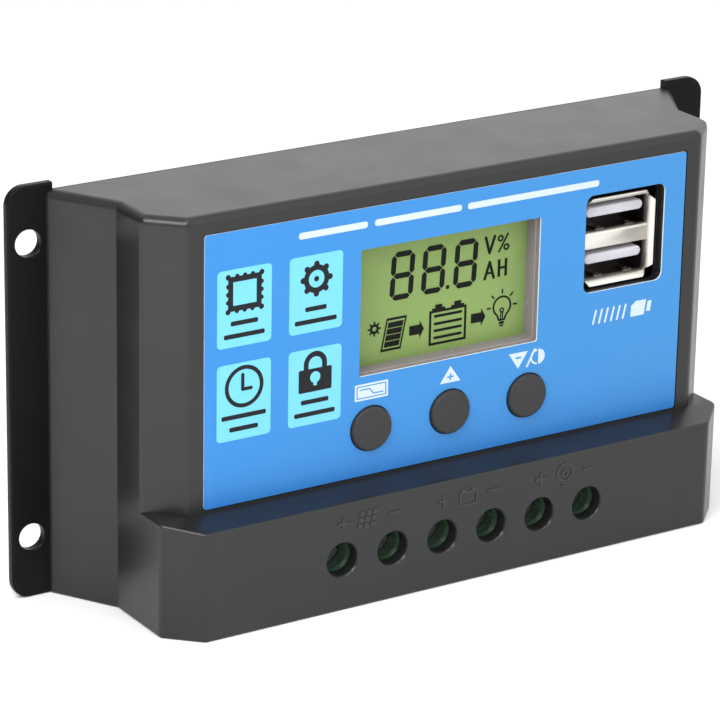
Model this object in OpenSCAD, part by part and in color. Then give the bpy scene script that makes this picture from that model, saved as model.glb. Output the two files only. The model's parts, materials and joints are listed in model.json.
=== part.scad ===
// Wall-mounted solar charge controller: a display and three buttons on the front, a stacked
// pair of USB sockets beside the display, and six screw terminals along the bottom.
//
// Row frame: +X to the viewer's right, +Y into the wall, +Z up. The origin is the centre of
// the four wall holes on the back plane, so the front of the object has negative Y.

/* [Overall size] */
// Width over the two mounting ears
width = 150; // [146:1:156]
// Height of the mounting ears
height = 77; // [76.8:0.2:80]
// Depth from the wall to the front of the terminal housing
depth = 35; // [34.5:0.5:36]

/* [Case] */
// Height of the case body, measured from the same bottom edge as the ears
body_h = 75.7; // [75:0.1:76.6]
// Depth from the wall to the display face
face_depth = 28.4; // [28:0.1:29]
// Width of the body where it meets the ears
base_w = 135.2; // [134:0.2:136]
// Width of the body at the waist, where its sloping flanks end
waist_w = 120.8; // [120:0.2:121.6]
// Depth of the waist
waist_depth = 14; // [13:0.5:15]
// Width of the display face between its two bevels
face_w = 109; // [108:0.5:110]
// Depth of each bevel beside the display face
bevel_depth = 5.8; // [5:0.1:6.2]
// Height of the terminal housing where it leaves the display face
ledge_h = 21.5; // [21:0.1:21.6]
// Fall of the ledge from the display face to its front edge
ledge_fall = 1.1; // [0.5:0.1:1.5]
// Wall thickness of the case
wall = 2.2; // [2:0.1:2.4]
// Thickness of the wall in front of the terminals
terminal_wall = 2.6; // [2.4:0.1:2.8]
// Chamfer along the top edges of the case
top_chamfer = 1.6; // [1:0.1:2]

/* [Wall mounting] */
// Thickness of the mounting ears
ear_t = 1.8; // [1.6:0.1:2.2]
// Corner radius of the mounting ears
ear_r = 3.5; // [2:0.5:4]
// Distance between the wall holes across the width
hole_pitch_x = 142; // [141.6:0.1:142.6]
// Distance between the wall holes up the height
hole_pitch_z = 55; // [50:0.5:60]
// Height of the middle of the four wall holes above the bottom edge
hole_mid = 39; // [36:0.5:41]
// Diameter of the wall holes
hole_d = 5; // [4:0.1:5.2]

/* [Label] */
// Width of the printed label
label_w = 102.4; // [100:0.2:104]
// Height of the printed label
label_h = 50.3; // [49:0.1:51]
// Height of the label's bottom edge
label_bottom = 22; // [21.9:0.1:22.4]
// Thickness of the label
label_t = 0.3; // [0.2:0.05:0.4]

/* [Display] */
// Width of the display window
window_w = 38.4; // [36:0.2:40]
// Height of the display window
window_h = 23.7; // [22:0.1:24]
// Height of the middle of the display window
window_z = 52.8; // [52:0.1:53]
// Sideways place of the middle of the display window
window_x = -0.3; // [-1:0.1:1]
// Depth of the display glass behind the front face
glass_recess = 4; // [3.5:0.1:4.4]

/* [Buttons] */
// Diameter of the button caps
button_d = 8.3; // [8:0.1:8.4]
// Diameter of the holes that the caps stand in
button_hole_d = 8.7; // [8.6:0.1:9]
// Distance between the buttons
button_pitch = 16.85; // [16:0.05:18]
// Height of the buttons
button_z = 30.85; // [30:0.05:31]
// How far the caps stand out of the display face
button_proud = 0.8; // [0.5:0.1:1.5]

/* [USB sockets] */
// Width of the cut-out for the sockets
usb_cutout_w = 17.8; // [17.4:0.1:18]
// Height of the cut-out for the sockets
usb_cutout_h = 18.7; // [18:0.1:19]
// Sideways place of the middle of the cut-out
usb_cutout_x = 37.8; // [37.5:0.1:38]
// Height of the middle of the cut-out
usb_cutout_z = 57.6; // [57.2:0.1:57.8]
// Sideways place of the middle of the sockets
usb_x = 38.3; // [37.8:0.1:38.4]
// Height of the middle of the sockets
usb_z = 57.1; // [57:0.1:57.6]
// Distance between the middles of the two ports
usb_port_pitch = 9; // [8.8:0.1:9.1]
// Height of each port
usb_port_h = 5.7; // [5.2:0.1:5.7]
// Depth of the socket lips behind the front face
usb_recess = 1.8; // [1.5:0.1:2.2]

/* [Terminals] */
// Distance between neighbouring terminals
pole_pitch = 10.66; // [10.5:0.02:10.8]
// Sideways place of the middle of the terminal row
terminal_x = 0.2; // [-1:0.1:1]
// Height of the terminal screws
screw_z = 9.75; // [9.5:0.05:10]
// Diameter of the screwdriver holes
driver_d = 6; // [5.9:0.1:6.2]
// Diameter of the clamp screws, an M4 thread
screw_d = 4; // [3.8:0.1:4]
// Gap for the bare wire in an open clamp
wire_gap = 5; // [4.6:0.1:5]
// Travel of a clamp, from open to closed
clamp_travel = 4.2; // [3.5:0.1:4.2]

/* [Hidden] */
$fn = 64;
bottom = -hole_mid;
front = -depth;
face = -face_depth;
top = bottom + body_h;
sliver = 0.1;
// How far the inner ends of the ears reach into the side walls
ear_lap = 1.4;
pole_count = 6;
poles = [0:pole_count - 1];
buttons = [0:2];
sides = [-1, 1];

// Places in depth, counted from the wall plane, which is Y = 0
plate_t = 1.5;
board_t = 1.6;
board_front = -10;
board_rear = board_front + board_t;
face_inside = face + wall;
glass_y = face + glass_recess;

// Board, its screws and the case's bosses
board_w = 106;
board_h = 69.5;
board_bottom = bottom + 3;
board_boss_x = 49;
board_boss_z = [bottom + 8, bottom + 68];
boss_d = 6;
pilot_d = 2.5;
board_screw_d = 2.4;
board_screw_head_d = 5;
board_screw_head_t = 1.2;
board_screw_l = 8;
plate_boss_x = 57.5;
plate_boss_z = [bottom + 6, top - 6];
plate_boss_d = 7;
plate_boss_l = 9;
plate_screw_d = 2.8;
plate_screw_head_d = 5.2;
plate_screw_l = 7;
plate_gap = 0.3;

// Display stack behind the window
bezel_wall = 0.8;
bezel_flange = 4;
bezel_flange_t = 1.2;
cell_w = 45;
cell_h = 28;
cell_t = 2.2;
backlight_t = 3;
pin_count = 16;
pin_pitch = 2.54;
pin_side = 0.5;

// Push buttons and their switches
cap_flange_d = 10.2;
cap_flange_t = 1;
cap_flange_gap = 0.1;
cap_socket_d = 5.5;
cap_rear = -20;
stem_d = 3.3;
stem_front = -23.5;
switch_side = 6;
switch_h = 3.5;
switch_cover_t = 0.3;
switch_well_d = 4.8;
switch_well_depth = 2;
stem_flange_d = 4.3;
stem_flange_t = 0.8;
dome_h = 0.7;
dome_top_d = 2.4;

// Stacked sockets
usb_cutout_r = 1.6;
usb_w = 13.9;
usb_sheet = 0.4;
usb_h = usb_port_pitch + usb_port_h + 2 * usb_sheet;
usb_front = face + usb_recess;
usb_lip_l = 1.2;
usb_lip_reach = 0.75;
usb_lip_inset = 0.7;
usb_body_front = usb_front + usb_lip_l;
usb_core_front = usb_body_front + 8.3;
tongue_w = 11.1;
tongue_t = 1.84;
tongue_offset = 0.95;
contact_places = [-3.5, -1, 1, 3.5];
contact_w = 1;
contact_t = 0.2;

// Terminal block
block_end = 0.7;
block_w = pole_count * pole_pitch + 2 * block_end;
block_front = -32;
block_bottom = bottom + 2.5;
block_top = bottom + 17.9;
clamp_clear = 0.3;
cage_w = 8.8;
cage_l = 7;
cage_front_t = 1.6;
cage_rear_t = 1.2;
cage_side_t = 1;
bar_w = 4.4;
bar_t = 1.2;
bar_bottom = bottom + 4.4;
bar_top = bottom + 16.3;
bar_tail_w = 3;
bar_tail_front = board_front - 0.5;
bar_gap = 0.1;
pocket_w = 9.2;
pocket_rear = -11.2;
pocket_bottom = bottom + 5.6;
pocket_top = bottom + 13.9;
bar_rear = pocket_rear - clamp_clear - cage_rear_t - wire_gap;
bar_front = bar_rear - bar_t;
cage_front = bar_front - clamp_clear - cage_front_t;
cage_rear = bar_rear + wire_gap + cage_rear_t;
pocket_front = cage_front - clamp_travel - clamp_clear;
wire_y = bar_rear + wire_gap / 2;
mouth_w = 7.4;
slot_case_w = 7.6;
slot_case_l = 5.8;
shoulder_t = 1;
shoulder_d = screw_d + 0.15;
thread_gap = 0.05;
tip_gap = 0.1;
head_d = 5.7;
head_t = 2.4;
head_gap = 0.1;
slot_w = 0.9;
slot_depth = 1.1;

// Power parts behind the board, against the cooling plate
pad_t = 0.5;
pad_w = 92;
pad_h = 22;
pad_z = bottom + 37;
mosfet_x = [-36, -12, 12, 36];
mosfet_w = 10;
mosfet_body_h = 9;
mosfet_tab_h = 6.4;
mosfet_t = 4.5;
mosfet_tab_t = 1.3;
mosfet_lead_pitch = 2.54;
mosfet_lead_w = 0.8;
mosfet_lead_t = 0.5;

// Parts on the front of the board
can_d = 10;
can_l = 12.5;
can_places = [[-41, bottom + 60], [-41, bottom + 46]];
choke_d = 11;
choke_l = 7;
choke_place = [-29, bottom + 30];
chip_w = 12.8;
chip_h = 7.5;
chip_t = 2.3;
chip_place = [-4, bottom + 54];
chip_legs = 10;
chip_leg_pitch = 1.27;
diode_d = 5.2;
diode_l = 9;
diode_places = [[42, bottom + 30], [42, bottom + 38]];
shunt_place = [0, bottom + 24.5];
shunt_span = 12;
shunt_d = 1.6;

// ---------------------------------------------------------------- helpers

function unit(v) = v / norm(v);

// Normal on the left of the edge from a to b, which points inwards on a counter-clockwise outline
function inward(a, b) = let (d = unit(b - a)) [-d[1], d[0]];

// A convex counter-clockwise outline with every edge moved inwards by t
function inset(points, t) = [
    for (i = [0:len(points) - 1])
        let (
            n = len(points),
            u = inward(points[(i + n - 1) % n], points[i]),
            v = inward(points[i], points[(i + 1) % n])
        )
        points[i] + t * (u + v) / (1 + u * v)
];

// From above, the case is two convex outlines: a bevelled front part, and flanks that flare behind it
function front_outline(front_y, rear_y) = [
    [-face_w / 2, front_y],
    [face_w / 2, front_y],
    [waist_w / 2, front_y + bevel_depth],
    [waist_w / 2, rear_y],
    [-waist_w / 2, rear_y],
    [-waist_w / 2, front_y + bevel_depth]
];

function flare_outline(rear_y) = [
    [-waist_w / 2, -waist_depth],
    [waist_w / 2, -waist_depth],
    [base_w / 2, -ear_t],
    [base_w / 2, rear_y],
    [-base_w / 2, rear_y],
    [-base_w / 2, -ear_t]
];

function pole_x(i) = terminal_x + (i - (pole_count - 1) / 2) * pole_pitch;
function button_x(i) = (i - 1) * button_pitch;

// A box given by its lowest and highest corners
module block(low, high) {
    translate(low)
        cube(high - low);
}

// A cylinder along +Y from y1 to y2, centred on x and z
module rod(x, z, y1, y2, d) {
    translate([x, y1, z])
        rotate([-90, 0, 0])
            cylinder(d = d, h = y2 - y1);
}

// A cone along +Y from diameter d1 at y1 to diameter d2 at y2
module cone(x, z, y1, y2, d1, d2) {
    translate([x, y1, z])
        rotate([-90, 0, 0])
            cylinder(d1 = d1, d2 = d2, h = y2 - y1);
}

// A plate in the XZ plane with rounded corners, from y1 to y2
module rounded_plate(x, z, w, h, r, y1, y2) {
    block([x - w / 2 + r, y1, z - h / 2], [x + w / 2 - r, y2, z + h / 2]);
    block([x - w / 2, y1, z - h / 2 + r], [x + w / 2, y2, z + h / 2 - r]);
    for (sx = sides, sz = sides)
        rod(x + sx * (w / 2 - r), z + sz * (h / 2 - r), y1, y2, 2 * r);
}

// ---------------------------------------------------------------- case

module prism(outline, z1, z2) {
    translate([0, 0, z1])
        linear_extrude(height = z2 - z1)
            polygon(outline);
}

// A 45 degree chamfer along the top edge from a to b
module edge_cut(a, b) {
    side = top_chamfer * sqrt(2);
    translate([a[0], a[1], top])
        rotate([0, 0, atan2(b[1] - a[1], b[0] - a[0])])
            rotate([45, 0, 0])
                translate([-top_chamfer, -side / 2, -side / 2])
                    cube([norm(b - a) + 2 * top_chamfer, side, side]);
}

// A convex outline raised to the top of the case, with the numbered edges chamfered
module chamfered_prism(outline, edges) {
    difference() {
        prism(outline, bottom, top);
        for (i = edges)
            edge_cut(outline[i], outline[(i + 1) % len(outline)]);
    }
}

module upper_body() {
    chamfered_prism(front_outline(face, 0), [0, 1, 2, 4, 5]);
    chamfered_prism(flare_outline(0), [1, 2, 4, 5]);
}

module terminal_housing() {
    difference() {
        prism(front_outline(front, -waist_depth), bottom, bottom + ledge_h);
        // The ledge falls towards the front
        translate([-width / 2, face, bottom + ledge_h])
            rotate([atan2(ledge_fall, depth - face_depth), 0, 0])
                translate([0, -2 * depth, 0])
                    cube([width, 2 * depth, 10]);
    }
}

// Ears: their inner ends lie in the side walls, and their outer corners are round
module ears() {
    inner = base_w / 2 - ear_lap;
    difference() {
        rounded_plate(0, bottom + height / 2, width, height, ear_r, -ear_t, 0);
        block([-inner, -2 * ear_t, bottom - 1], [inner, ear_t, bottom + height + 1]);
    }
}

module cavity() {
    prism(inset(front_outline(face, 2 * wall), wall), bottom + wall, top - wall);
    prism(inset(flare_outline(2 * wall), wall), bottom + wall, top - wall);
    prism(inset(front_outline(front + terminal_wall - wall, 2 * wall), wall),
        bottom + wall, bottom + ledge_h - ledge_fall - wall);
}

// Bosses for the board on the front wall, and for the cooling plate in the corners
module bosses() {
    for (s = sides, z = board_boss_z)
        rod(s * board_boss_x, z, z < bottom + ledge_h ? front + sliver : face + sliver,
            board_front, boss_d);
    for (s = sides, z = plate_boss_z)
        rod(s * plate_boss_x, z, -plate_t - plate_boss_l, -plate_t, plate_boss_d);
}

module boss_pilots() {
    for (s = sides, z = board_boss_z)
        rod(s * board_boss_x, z, board_front - board_screw_l, board_front + sliver, pilot_d);
    for (s = sides, z = plate_boss_z)
        rod(s * plate_boss_x, z, -plate_t - plate_screw_l, 0, pilot_d);
}

module front_cutouts() {
    label_z = bottom + label_bottom + label_h / 2;
    // Shallow seat for the label
    rounded_plate(0, label_z, label_w + 0.5, label_h + 0.5, 0.8, face - 1, face + label_t);
    // Window with room for the bezel that lines it
    rounded_plate(window_x, bottom + window_z, window_w + 2 * bezel_wall, window_h + 2 * bezel_wall,
        0.8, face - 1, face + wall + 1);
    for (i = buttons)
        rod(button_x(i), bottom + button_z, face - 1, face + wall + 1, button_hole_d);
    rounded_plate(usb_cutout_x, bottom + usb_cutout_z, usb_cutout_w, usb_cutout_h, usb_cutout_r,
        face - 1, face + wall + 1);
}

module terminal_cutouts() {
    for (i = poles) {
        rod(pole_x(i), bottom + screw_z, front - 1, front + terminal_wall + 1, driver_d);
        cone(pole_x(i), bottom + screw_z, front - sliver, front + 0.4, driver_d + 1, driver_d);
        // Wire slot in the underside
        block([pole_x(i) - slot_case_w / 2, wire_y - slot_case_l / 2, bottom - 1],
            [pole_x(i) + slot_case_w / 2, wire_y + slot_case_l / 2, bottom + wall + 0.2]);
    }
}

module front_case() {
    color([0.17, 0.17, 0.18])
        difference() {
            union() {
                difference() {
                    union() {
                        upper_body();
                        terminal_housing();
                        ears();
                    }
                    cavity();
                }
                bosses();
            }
            boss_pilots();
            front_cutouts();
            terminal_cutouts();
            for (sx = sides, sz = sides)
                rod(sx * hole_pitch_x / 2, sz * hole_pitch_z / 2, -ear_t - 1, 1, hole_d);
        }
}

module front_label() {
    label_z = bottom + label_bottom + label_h / 2;
    color([0.3, 0.61, 0.91])
        difference() {
            rounded_plate(0, label_z, label_w, label_h, 0.6, face, face + label_t);
            rounded_plate(window_x, bottom + window_z, window_w, window_h, 0.4,
                face - 1, face + label_t + 1);
            for (i = buttons)
                rod(button_x(i), bottom + button_z, face - 1, face + label_t + 1, button_hole_d);
            rounded_plate(usb_cutout_x, bottom + usb_cutout_z, usb_cutout_w, usb_cutout_h,
                usb_cutout_r, face - 1, face + label_t + 1);
        }
}

// Aluminium plate that closes the back and cools the power transistors
module back_plate() {
    half_w = base_w / 2 - wall - plate_gap;
    color([0.75, 0.76, 0.77])
        difference() {
            block([-half_w, -plate_t, bottom + wall + plate_gap], [half_w, 0, top - wall - plate_gap]);
            for (s = sides, z = plate_boss_z) {
                rod(s * plate_boss_x, z, -plate_t - 1, 1, plate_screw_d + 0.3);
                cone(s * plate_boss_x, z, -plate_t, sliver, plate_screw_d + 0.3,
                    plate_screw_head_d + 0.4);
            }
        }
}

module cross_recess(x, z, y1, y2, span, w) {
    block([x - span / 2, y1, z - w / 2], [x + span / 2, y2, z + w / 2]);
    block([x - w / 2, y1, z - span / 2], [x + w / 2, y2, z + span / 2]);
}

module back_screws() {
    color([0.6, 0.6, 0.62])
        for (s = sides, z = plate_boss_z)
            difference() {
                union() {
                    cone(s * plate_boss_x, z, -plate_t, -sliver, pilot_d, plate_screw_head_d);
                    rod(s * plate_boss_x, z, -plate_screw_l, -plate_t, pilot_d);
                }
                cross_recess(s * plate_boss_x, z, -0.9, 1, 2.6, 0.6);
            }
}

// ---------------------------------------------------------------- board

module main_board() {
    color([0.05, 0.35, 0.15])
        difference() {
            block([-board_w / 2, board_front, board_bottom],
                [board_w / 2, board_rear, board_bottom + board_h]);
            for (s = sides, z = board_boss_z)
                rod(s * board_boss_x, z, board_front - 1, board_rear + 1, board_screw_d + 0.3);
            for (i = poles)
                block([pole_x(i) - bar_tail_w / 2 - bar_gap, board_front - 1,
                    bar_top - bar_t - bar_gap],
                    [pole_x(i) + bar_tail_w / 2 + bar_gap, board_rear + 1, bar_top + bar_gap]);
        }
}

module board_screws() {
    color([0.6, 0.6, 0.62])
        for (s = sides, z = board_boss_z)
            difference() {
                union() {
                    rod(s * board_boss_x, z, board_rear, board_rear + board_screw_head_t,
                        board_screw_head_d);
                    rod(s * board_boss_x, z, board_rear - board_screw_l, board_rear, board_screw_d);
                }
                cross_recess(s * board_boss_x, z, board_rear + 0.5, board_rear + 3, 2.6, 0.6);
            }
}

// ---------------------------------------------------------------- display

// Grey frame that lines the window and holds the glass
module display_bezel() {
    z = bottom + window_z;
    color([0.52, 0.5, 0.51])
        difference() {
            union() {
                rounded_plate(window_x, z, window_w + 2 * bezel_wall - 0.2,
                    window_h + 2 * bezel_wall - 0.2, 0.7, face + label_t, glass_y);
                rounded_plate(window_x, z, window_w + 2 * bezel_flange,
                    window_h + 2 * bezel_flange - 2, 0.7, glass_y - bezel_flange_t, glass_y);
            }
            rounded_plate(window_x, z, window_w, window_h, 0.3, face - 1, glass_y + 1);
        }
}

module lcd_cell() {
    z = bottom + window_z;
    color([0.56, 0.69, 0.38])
        block([window_x - cell_w / 2, glass_y, z - cell_h / 2],
            [window_x + cell_w / 2, glass_y + cell_t, z + cell_h / 2]);
}

module lcd_backlight() {
    z = bottom + window_z;
    y1 = glass_y + cell_t;
    color([0.93, 0.94, 0.9])
        union() {
            block([window_x - cell_w / 2 + 1, y1, z - cell_h / 2 + 2],
                [window_x + cell_w / 2 - 1, y1 + backlight_t, z + cell_h / 2 - 2]);
            // Four legs stand on the board
            for (sx = sides, sz = sides)
                block([window_x + sx * (cell_w / 2 - 2.5) - 1, y1, z + sz * (cell_h / 2 - 3.5) - 1],
                    [window_x + sx * (cell_w / 2 - 2.5) + 1, board_front,
                    z + sz * (cell_h / 2 - 3.5) + 1]);
        }
}

module lcd_pins() {
    z = bottom + window_z + cell_h / 2 - 1;
    color([0.8, 0.75, 0.55])
        for (i = [0:pin_count - 1]) {
            x = window_x + (i - (pin_count - 1) / 2) * pin_pitch;
            block([x - pin_side / 2, glass_y + cell_t, z - pin_side / 2],
                [x + pin_side / 2, board_front, z + pin_side / 2]);
        }
}

// ---------------------------------------------------------------- USB sockets

// A lip that flares outwards from the edge of the shell, drawn along X
module usb_lip(l) {
    rotate([90, 0, 90])
        linear_extrude(height = l, center = true)
            polygon([[0, 0], [0, -usb_sheet], [-usb_lip_l, usb_lip_reach - usb_sheet],
                [-usb_lip_l, usb_lip_reach]]);
}

module usb_shell() {
    z = bottom + usb_z;
    inner_w = usb_w - 2 * usb_sheet;
    color([0.85, 0.85, 0.83])
        union() {
            difference() {
                block([usb_x - usb_w / 2, usb_body_front, z - usb_h / 2],
                    [usb_x + usb_w / 2, board_front, z + usb_h / 2]);
                block([usb_x - inner_w / 2, usb_body_front - 1, z - usb_h / 2 + usb_sheet],
                    [usb_x + inner_w / 2, board_front + 1, z + usb_h / 2 - usb_sheet]);
            }
            for (a = [0, 180])
                translate([usb_x, usb_body_front, z])
                    rotate([0, a, 0])
                        translate([0, 0, usb_h / 2])
                            usb_lip(usb_w - 2 * usb_lip_inset);
            for (a = [90, 270])
                translate([usb_x, usb_body_front, z])
                    rotate([0, a, 0])
                        translate([0, 0, usb_w / 2])
                            usb_lip(usb_h - 2 * usb_lip_inset);
        }
}

// White insert: a deep block with a tongue in each port and a bar between the ports
module usb_core() {
    z = bottom + usb_z;
    inner_w = usb_w - 2 * usb_sheet;
    inner_h = usb_h - 2 * usb_sheet;
    bar_h = usb_port_pitch - usb_port_h;
    color([0.95, 0.95, 0.94]) {
        block([usb_x - inner_w / 2, usb_core_front, z - inner_h / 2],
            [usb_x + inner_w / 2, board_front, z + inner_h / 2]);
        block([usb_x - inner_w / 2, usb_body_front, z - bar_h / 2],
            [usb_x + inner_w / 2, usb_core_front + sliver, z + bar_h / 2]);
        for (s = sides) {
            tongue_z = z + s * usb_port_pitch / 2 + tongue_offset;
            block([usb_x - tongue_w / 2, usb_body_front, tongue_z - tongue_t / 2],
                [usb_x + tongue_w / 2, usb_core_front + sliver, tongue_z + tongue_t / 2]);
        }
    }
}

module usb_contacts() {
    z = bottom + usb_z;
    color([0.85, 0.7, 0.3])
        for (s = sides, x = contact_places) {
            contact_z = z + s * usb_port_pitch / 2 + tongue_offset - tongue_t / 2;
            block([usb_x + x - contact_w / 2, usb_body_front + 0.8, contact_z - contact_t],
                [usb_x + x + contact_w / 2, usb_core_front, contact_z]);
        }
}

// ---------------------------------------------------------------- buttons

module switch_bases() {
    y1 = board_front - switch_h;
    color([0.08, 0.08, 0.08])
        for (i = buttons)
            difference() {
                block([button_x(i) - switch_side / 2, y1, bottom + button_z - switch_side / 2],
                    [button_x(i) + switch_side / 2, board_front, bottom + button_z + switch_side / 2]);
                rod(button_x(i), bottom + button_z, y1 - 1, y1 + switch_well_depth, switch_well_d);
            }
}

module switch_covers() {
    y2 = board_front - switch_h;
    color([0.75, 0.75, 0.75])
        for (i = buttons)
            difference() {
                block([button_x(i) - switch_side / 2, y2 - switch_cover_t,
                    bottom + button_z - switch_side / 2],
                    [button_x(i) + switch_side / 2, y2, bottom + button_z + switch_side / 2]);
                rod(button_x(i), bottom + button_z, y2 - 1, y2 + 1, stem_d + 0.4);
            }
}

// Snap domes, each a shallow disc on the floor of its switch
module switch_domes() {
    floor_y = board_front - switch_h + switch_well_depth;
    color([0.8, 0.78, 0.7])
        for (i = buttons)
            cone(button_x(i), bottom + button_z, floor_y - dome_h, floor_y, dome_top_d, switch_well_d - 0.3);
}

// Cap that stands in the case's hole and is held in by its flange
module button_cap(i) {
    flange_y = face_inside + cap_flange_gap;
    color([0.28, 0.27, 0.26])
        difference() {
            union() {
                cone(button_x(i), bottom + button_z, face - button_proud,
                    face - button_proud + 0.4, button_d - 0.8, button_d);
                rod(button_x(i), bottom + button_z, face - button_proud + 0.4,
                    flange_y, button_d);
                rod(button_x(i), bottom + button_z, flange_y, flange_y + cap_flange_t, cap_flange_d);
                rod(button_x(i), bottom + button_z, flange_y + cap_flange_t, cap_rear, cap_socket_d);
            }
            rod(button_x(i), bottom + button_z, stem_front, cap_rear + 1, stem_d);
        }
}

// Plunger of the switch, which fills the socket of the cap
module switch_stem(i) {
    flange_y = board_front - switch_h + 0.1;
    color([0.1, 0.1, 0.1])
        union() {
            rod(button_x(i), bottom + button_z, stem_front, flange_y + sliver, stem_d);
            rod(button_x(i), bottom + button_z, flange_y, flange_y + stem_flange_t, stem_flange_d);
        }
}

// ---------------------------------------------------------------- terminals

// Current bar: it crosses the clamp, turns back at its top and passes through the board
module current_bar(i, gap) {
    x = pole_x(i);
    block([x - bar_w / 2 - gap, bar_front - gap, bar_bottom - gap],
        [x + bar_w / 2 + gap, bar_rear + gap, bar_top + gap]);
    block([x - bar_w / 2 - gap, bar_rear - sliver, bar_top - bar_t - gap],
        [x + bar_w / 2 + gap, bar_tail_front + gap, bar_top + gap]);
    block([x - bar_tail_w / 2 - gap, bar_tail_front - sliver, bar_top - bar_t - gap],
        [x + bar_tail_w / 2 + gap, board_rear + 0.8, bar_top + gap]);
}

module terminal_bars() {
    color([0.8, 0.55, 0.35])
        for (i = poles)
            current_bar(i, 0);
}

module terminal_block() {
    color([0.16, 0.34, 0.2])
        difference() {
            block([terminal_x - block_w / 2, block_front, block_bottom],
                [terminal_x + block_w / 2, board_front, block_top]);
            for (i = poles) {
                x = pole_x(i);
                block([x - pocket_w / 2, pocket_front, pocket_bottom],
                    [x + pocket_w / 2, pocket_rear, pocket_top]);
                block([x - mouth_w / 2, bar_rear + sliver, block_bottom - 1],
                    [x + mouth_w / 2, pocket_rear - 0.4, pocket_bottom + 1]);
                rod(x, bottom + screw_z, block_front - 1, pocket_front - shoulder_t, driver_d);
                cone(x, bottom + screw_z, block_front - sliver, block_front + 0.8,
                    driver_d + 1.4, driver_d);
                rod(x, bottom + screw_z, pocket_front - shoulder_t - 1, pocket_front + 1, shoulder_d);
                current_bar(i, bar_gap);
            }
        }
}

// Clamp screw: it turns in place between its shoulder and the current bar
module terminal_screw(i) {
    x = pole_x(i - 1);
    z = bottom + screw_z;
    head_rear = pocket_front - shoulder_t - head_gap;
    color([0.7, 0.7, 0.68])
        difference() {
            union() {
                rod(x, z, head_rear - head_t, head_rear, head_d);
                rod(x, z, head_rear - sliver, bar_front - tip_gap, screw_d);
            }
            block([x - head_d, head_rear - head_t - 1, z - slot_w / 2],
                [x + head_d, head_rear - head_t + slot_depth, z + slot_w / 2]);
        }
}

// Clamp: a square loop round the bar and the wire, drawn forwards by the screw
module clamp_cage(i) {
    x = pole_x(i - 1);
    z = bottom + screw_z;
    color([0.72, 0.72, 0.66])
        difference() {
            block([x - cage_w / 2, cage_front, z - cage_l / 2],
                [x + cage_w / 2, cage_rear, z + cage_l / 2]);
            block([x - cage_w / 2 + cage_side_t, cage_front + cage_front_t, z - cage_l],
                [x + cage_w / 2 - cage_side_t, cage_rear - cage_rear_t, z + cage_l]);
            rod(x, z, cage_front - 1, cage_front + cage_front_t + 1, screw_d + 2 * thread_gap);
        }
}

// ---------------------------------------------------------------- power parts

module thermal_pad() {
    color([0.62, 0.66, 0.7])
        block([-pad_w / 2, -plate_t - pad_t, pad_z - pad_h / 2],
            [pad_w / 2, -plate_t, pad_z + pad_h / 2]);
}

module mosfet_bodies() {
    rear = -plate_t - pad_t;
    color([0.09, 0.09, 0.09])
        for (x = mosfet_x)
            difference() {
                block([x - mosfet_w / 2, rear - mosfet_t, pad_z - mosfet_body_h],
                    [x + mosfet_w / 2, rear, pad_z]);
                block([x - mosfet_w, rear - mosfet_tab_t, pad_z - mosfet_body_h + 1],
                    [x + mosfet_w, rear + 1, pad_z + 1]);
            }
}

module mosfet_tabs() {
    rear = -plate_t - pad_t;
    color([0.75, 0.75, 0.76])
        for (x = mosfet_x)
            difference() {
                block([x - mosfet_w / 2, rear - mosfet_tab_t, pad_z - mosfet_body_h + 1],
                    [x + mosfet_w / 2, rear, pad_z + mosfet_tab_h]);
                rod(x, pad_z + mosfet_tab_h / 2 + 0.4, rear - 3, rear + 1, 3.6);
            }
}

// Three legs to each transistor, bent forwards onto the pads of the board
module mosfet_leads() {
    y = -plate_t - pad_t - 2.4;
    z = pad_z - mosfet_body_h;
    color([0.8, 0.8, 0.78])
        for (x = mosfet_x, i = [-1:1]) {
            lead_x = x + i * mosfet_lead_pitch;
            block([lead_x - mosfet_lead_w / 2, y - mosfet_lead_t / 2, z - 3],
                [lead_x + mosfet_lead_w / 2, y + mosfet_lead_t / 2, z]);
            block([lead_x - mosfet_lead_w / 2, board_rear, z - 3],
                [lead_x + mosfet_lead_w / 2, y + mosfet_lead_t / 2, z - 3 + mosfet_lead_t]);
        }
}

module capacitors() {
    color([0.12, 0.14, 0.3])
        for (p = can_places)
            rod(p[0], p[1], board_front - can_l, board_front, can_d);
}

module choke_core() {
    color([0.25, 0.25, 0.26])
        difference() {
            rod(choke_place[0], choke_place[1], board_front - choke_l, board_front, choke_d);
            rod(choke_place[0], choke_place[1], board_front - choke_l - 1, board_front + 1, 4.6);
        }
}

// Copper winding that lies round the core
module choke_winding() {
    color([0.72, 0.4, 0.2])
        difference() {
            rod(choke_place[0], choke_place[1], board_front - choke_l + 1, board_front - 1,
                choke_d + 2);
            rod(choke_place[0], choke_place[1], board_front - choke_l, board_front, choke_d);
        }
}

module control_chip() {
    color([0.09, 0.09, 0.1])
        block([chip_place[0] - chip_w / 2, board_front - chip_t, chip_place[1] - chip_h / 2],
            [chip_place[0] + chip_w / 2, board_front - 0.2, chip_place[1] + chip_h / 2]);
}

module chip_legs_row() {
    color([0.8, 0.8, 0.78])
        for (s = sides, i = [0:chip_legs - 1]) {
            x = chip_place[0] + (i - (chip_legs - 1) / 2) * chip_leg_pitch;
            z = chip_place[1] + s * (chip_h / 2 + 0.7);
            block([x - 0.2, board_front - 1.2, z - 0.7], [x + 0.2, board_front, z + 0.7]);
        }
}

module diodes() {
    color([0.1, 0.1, 0.11])
        for (p = diode_places)
            translate([p[0], board_front - diode_d / 2, p[1]])
                rotate([0, 90, 0])
                    cylinder(d = diode_d, h = diode_l, center = true);
}

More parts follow.
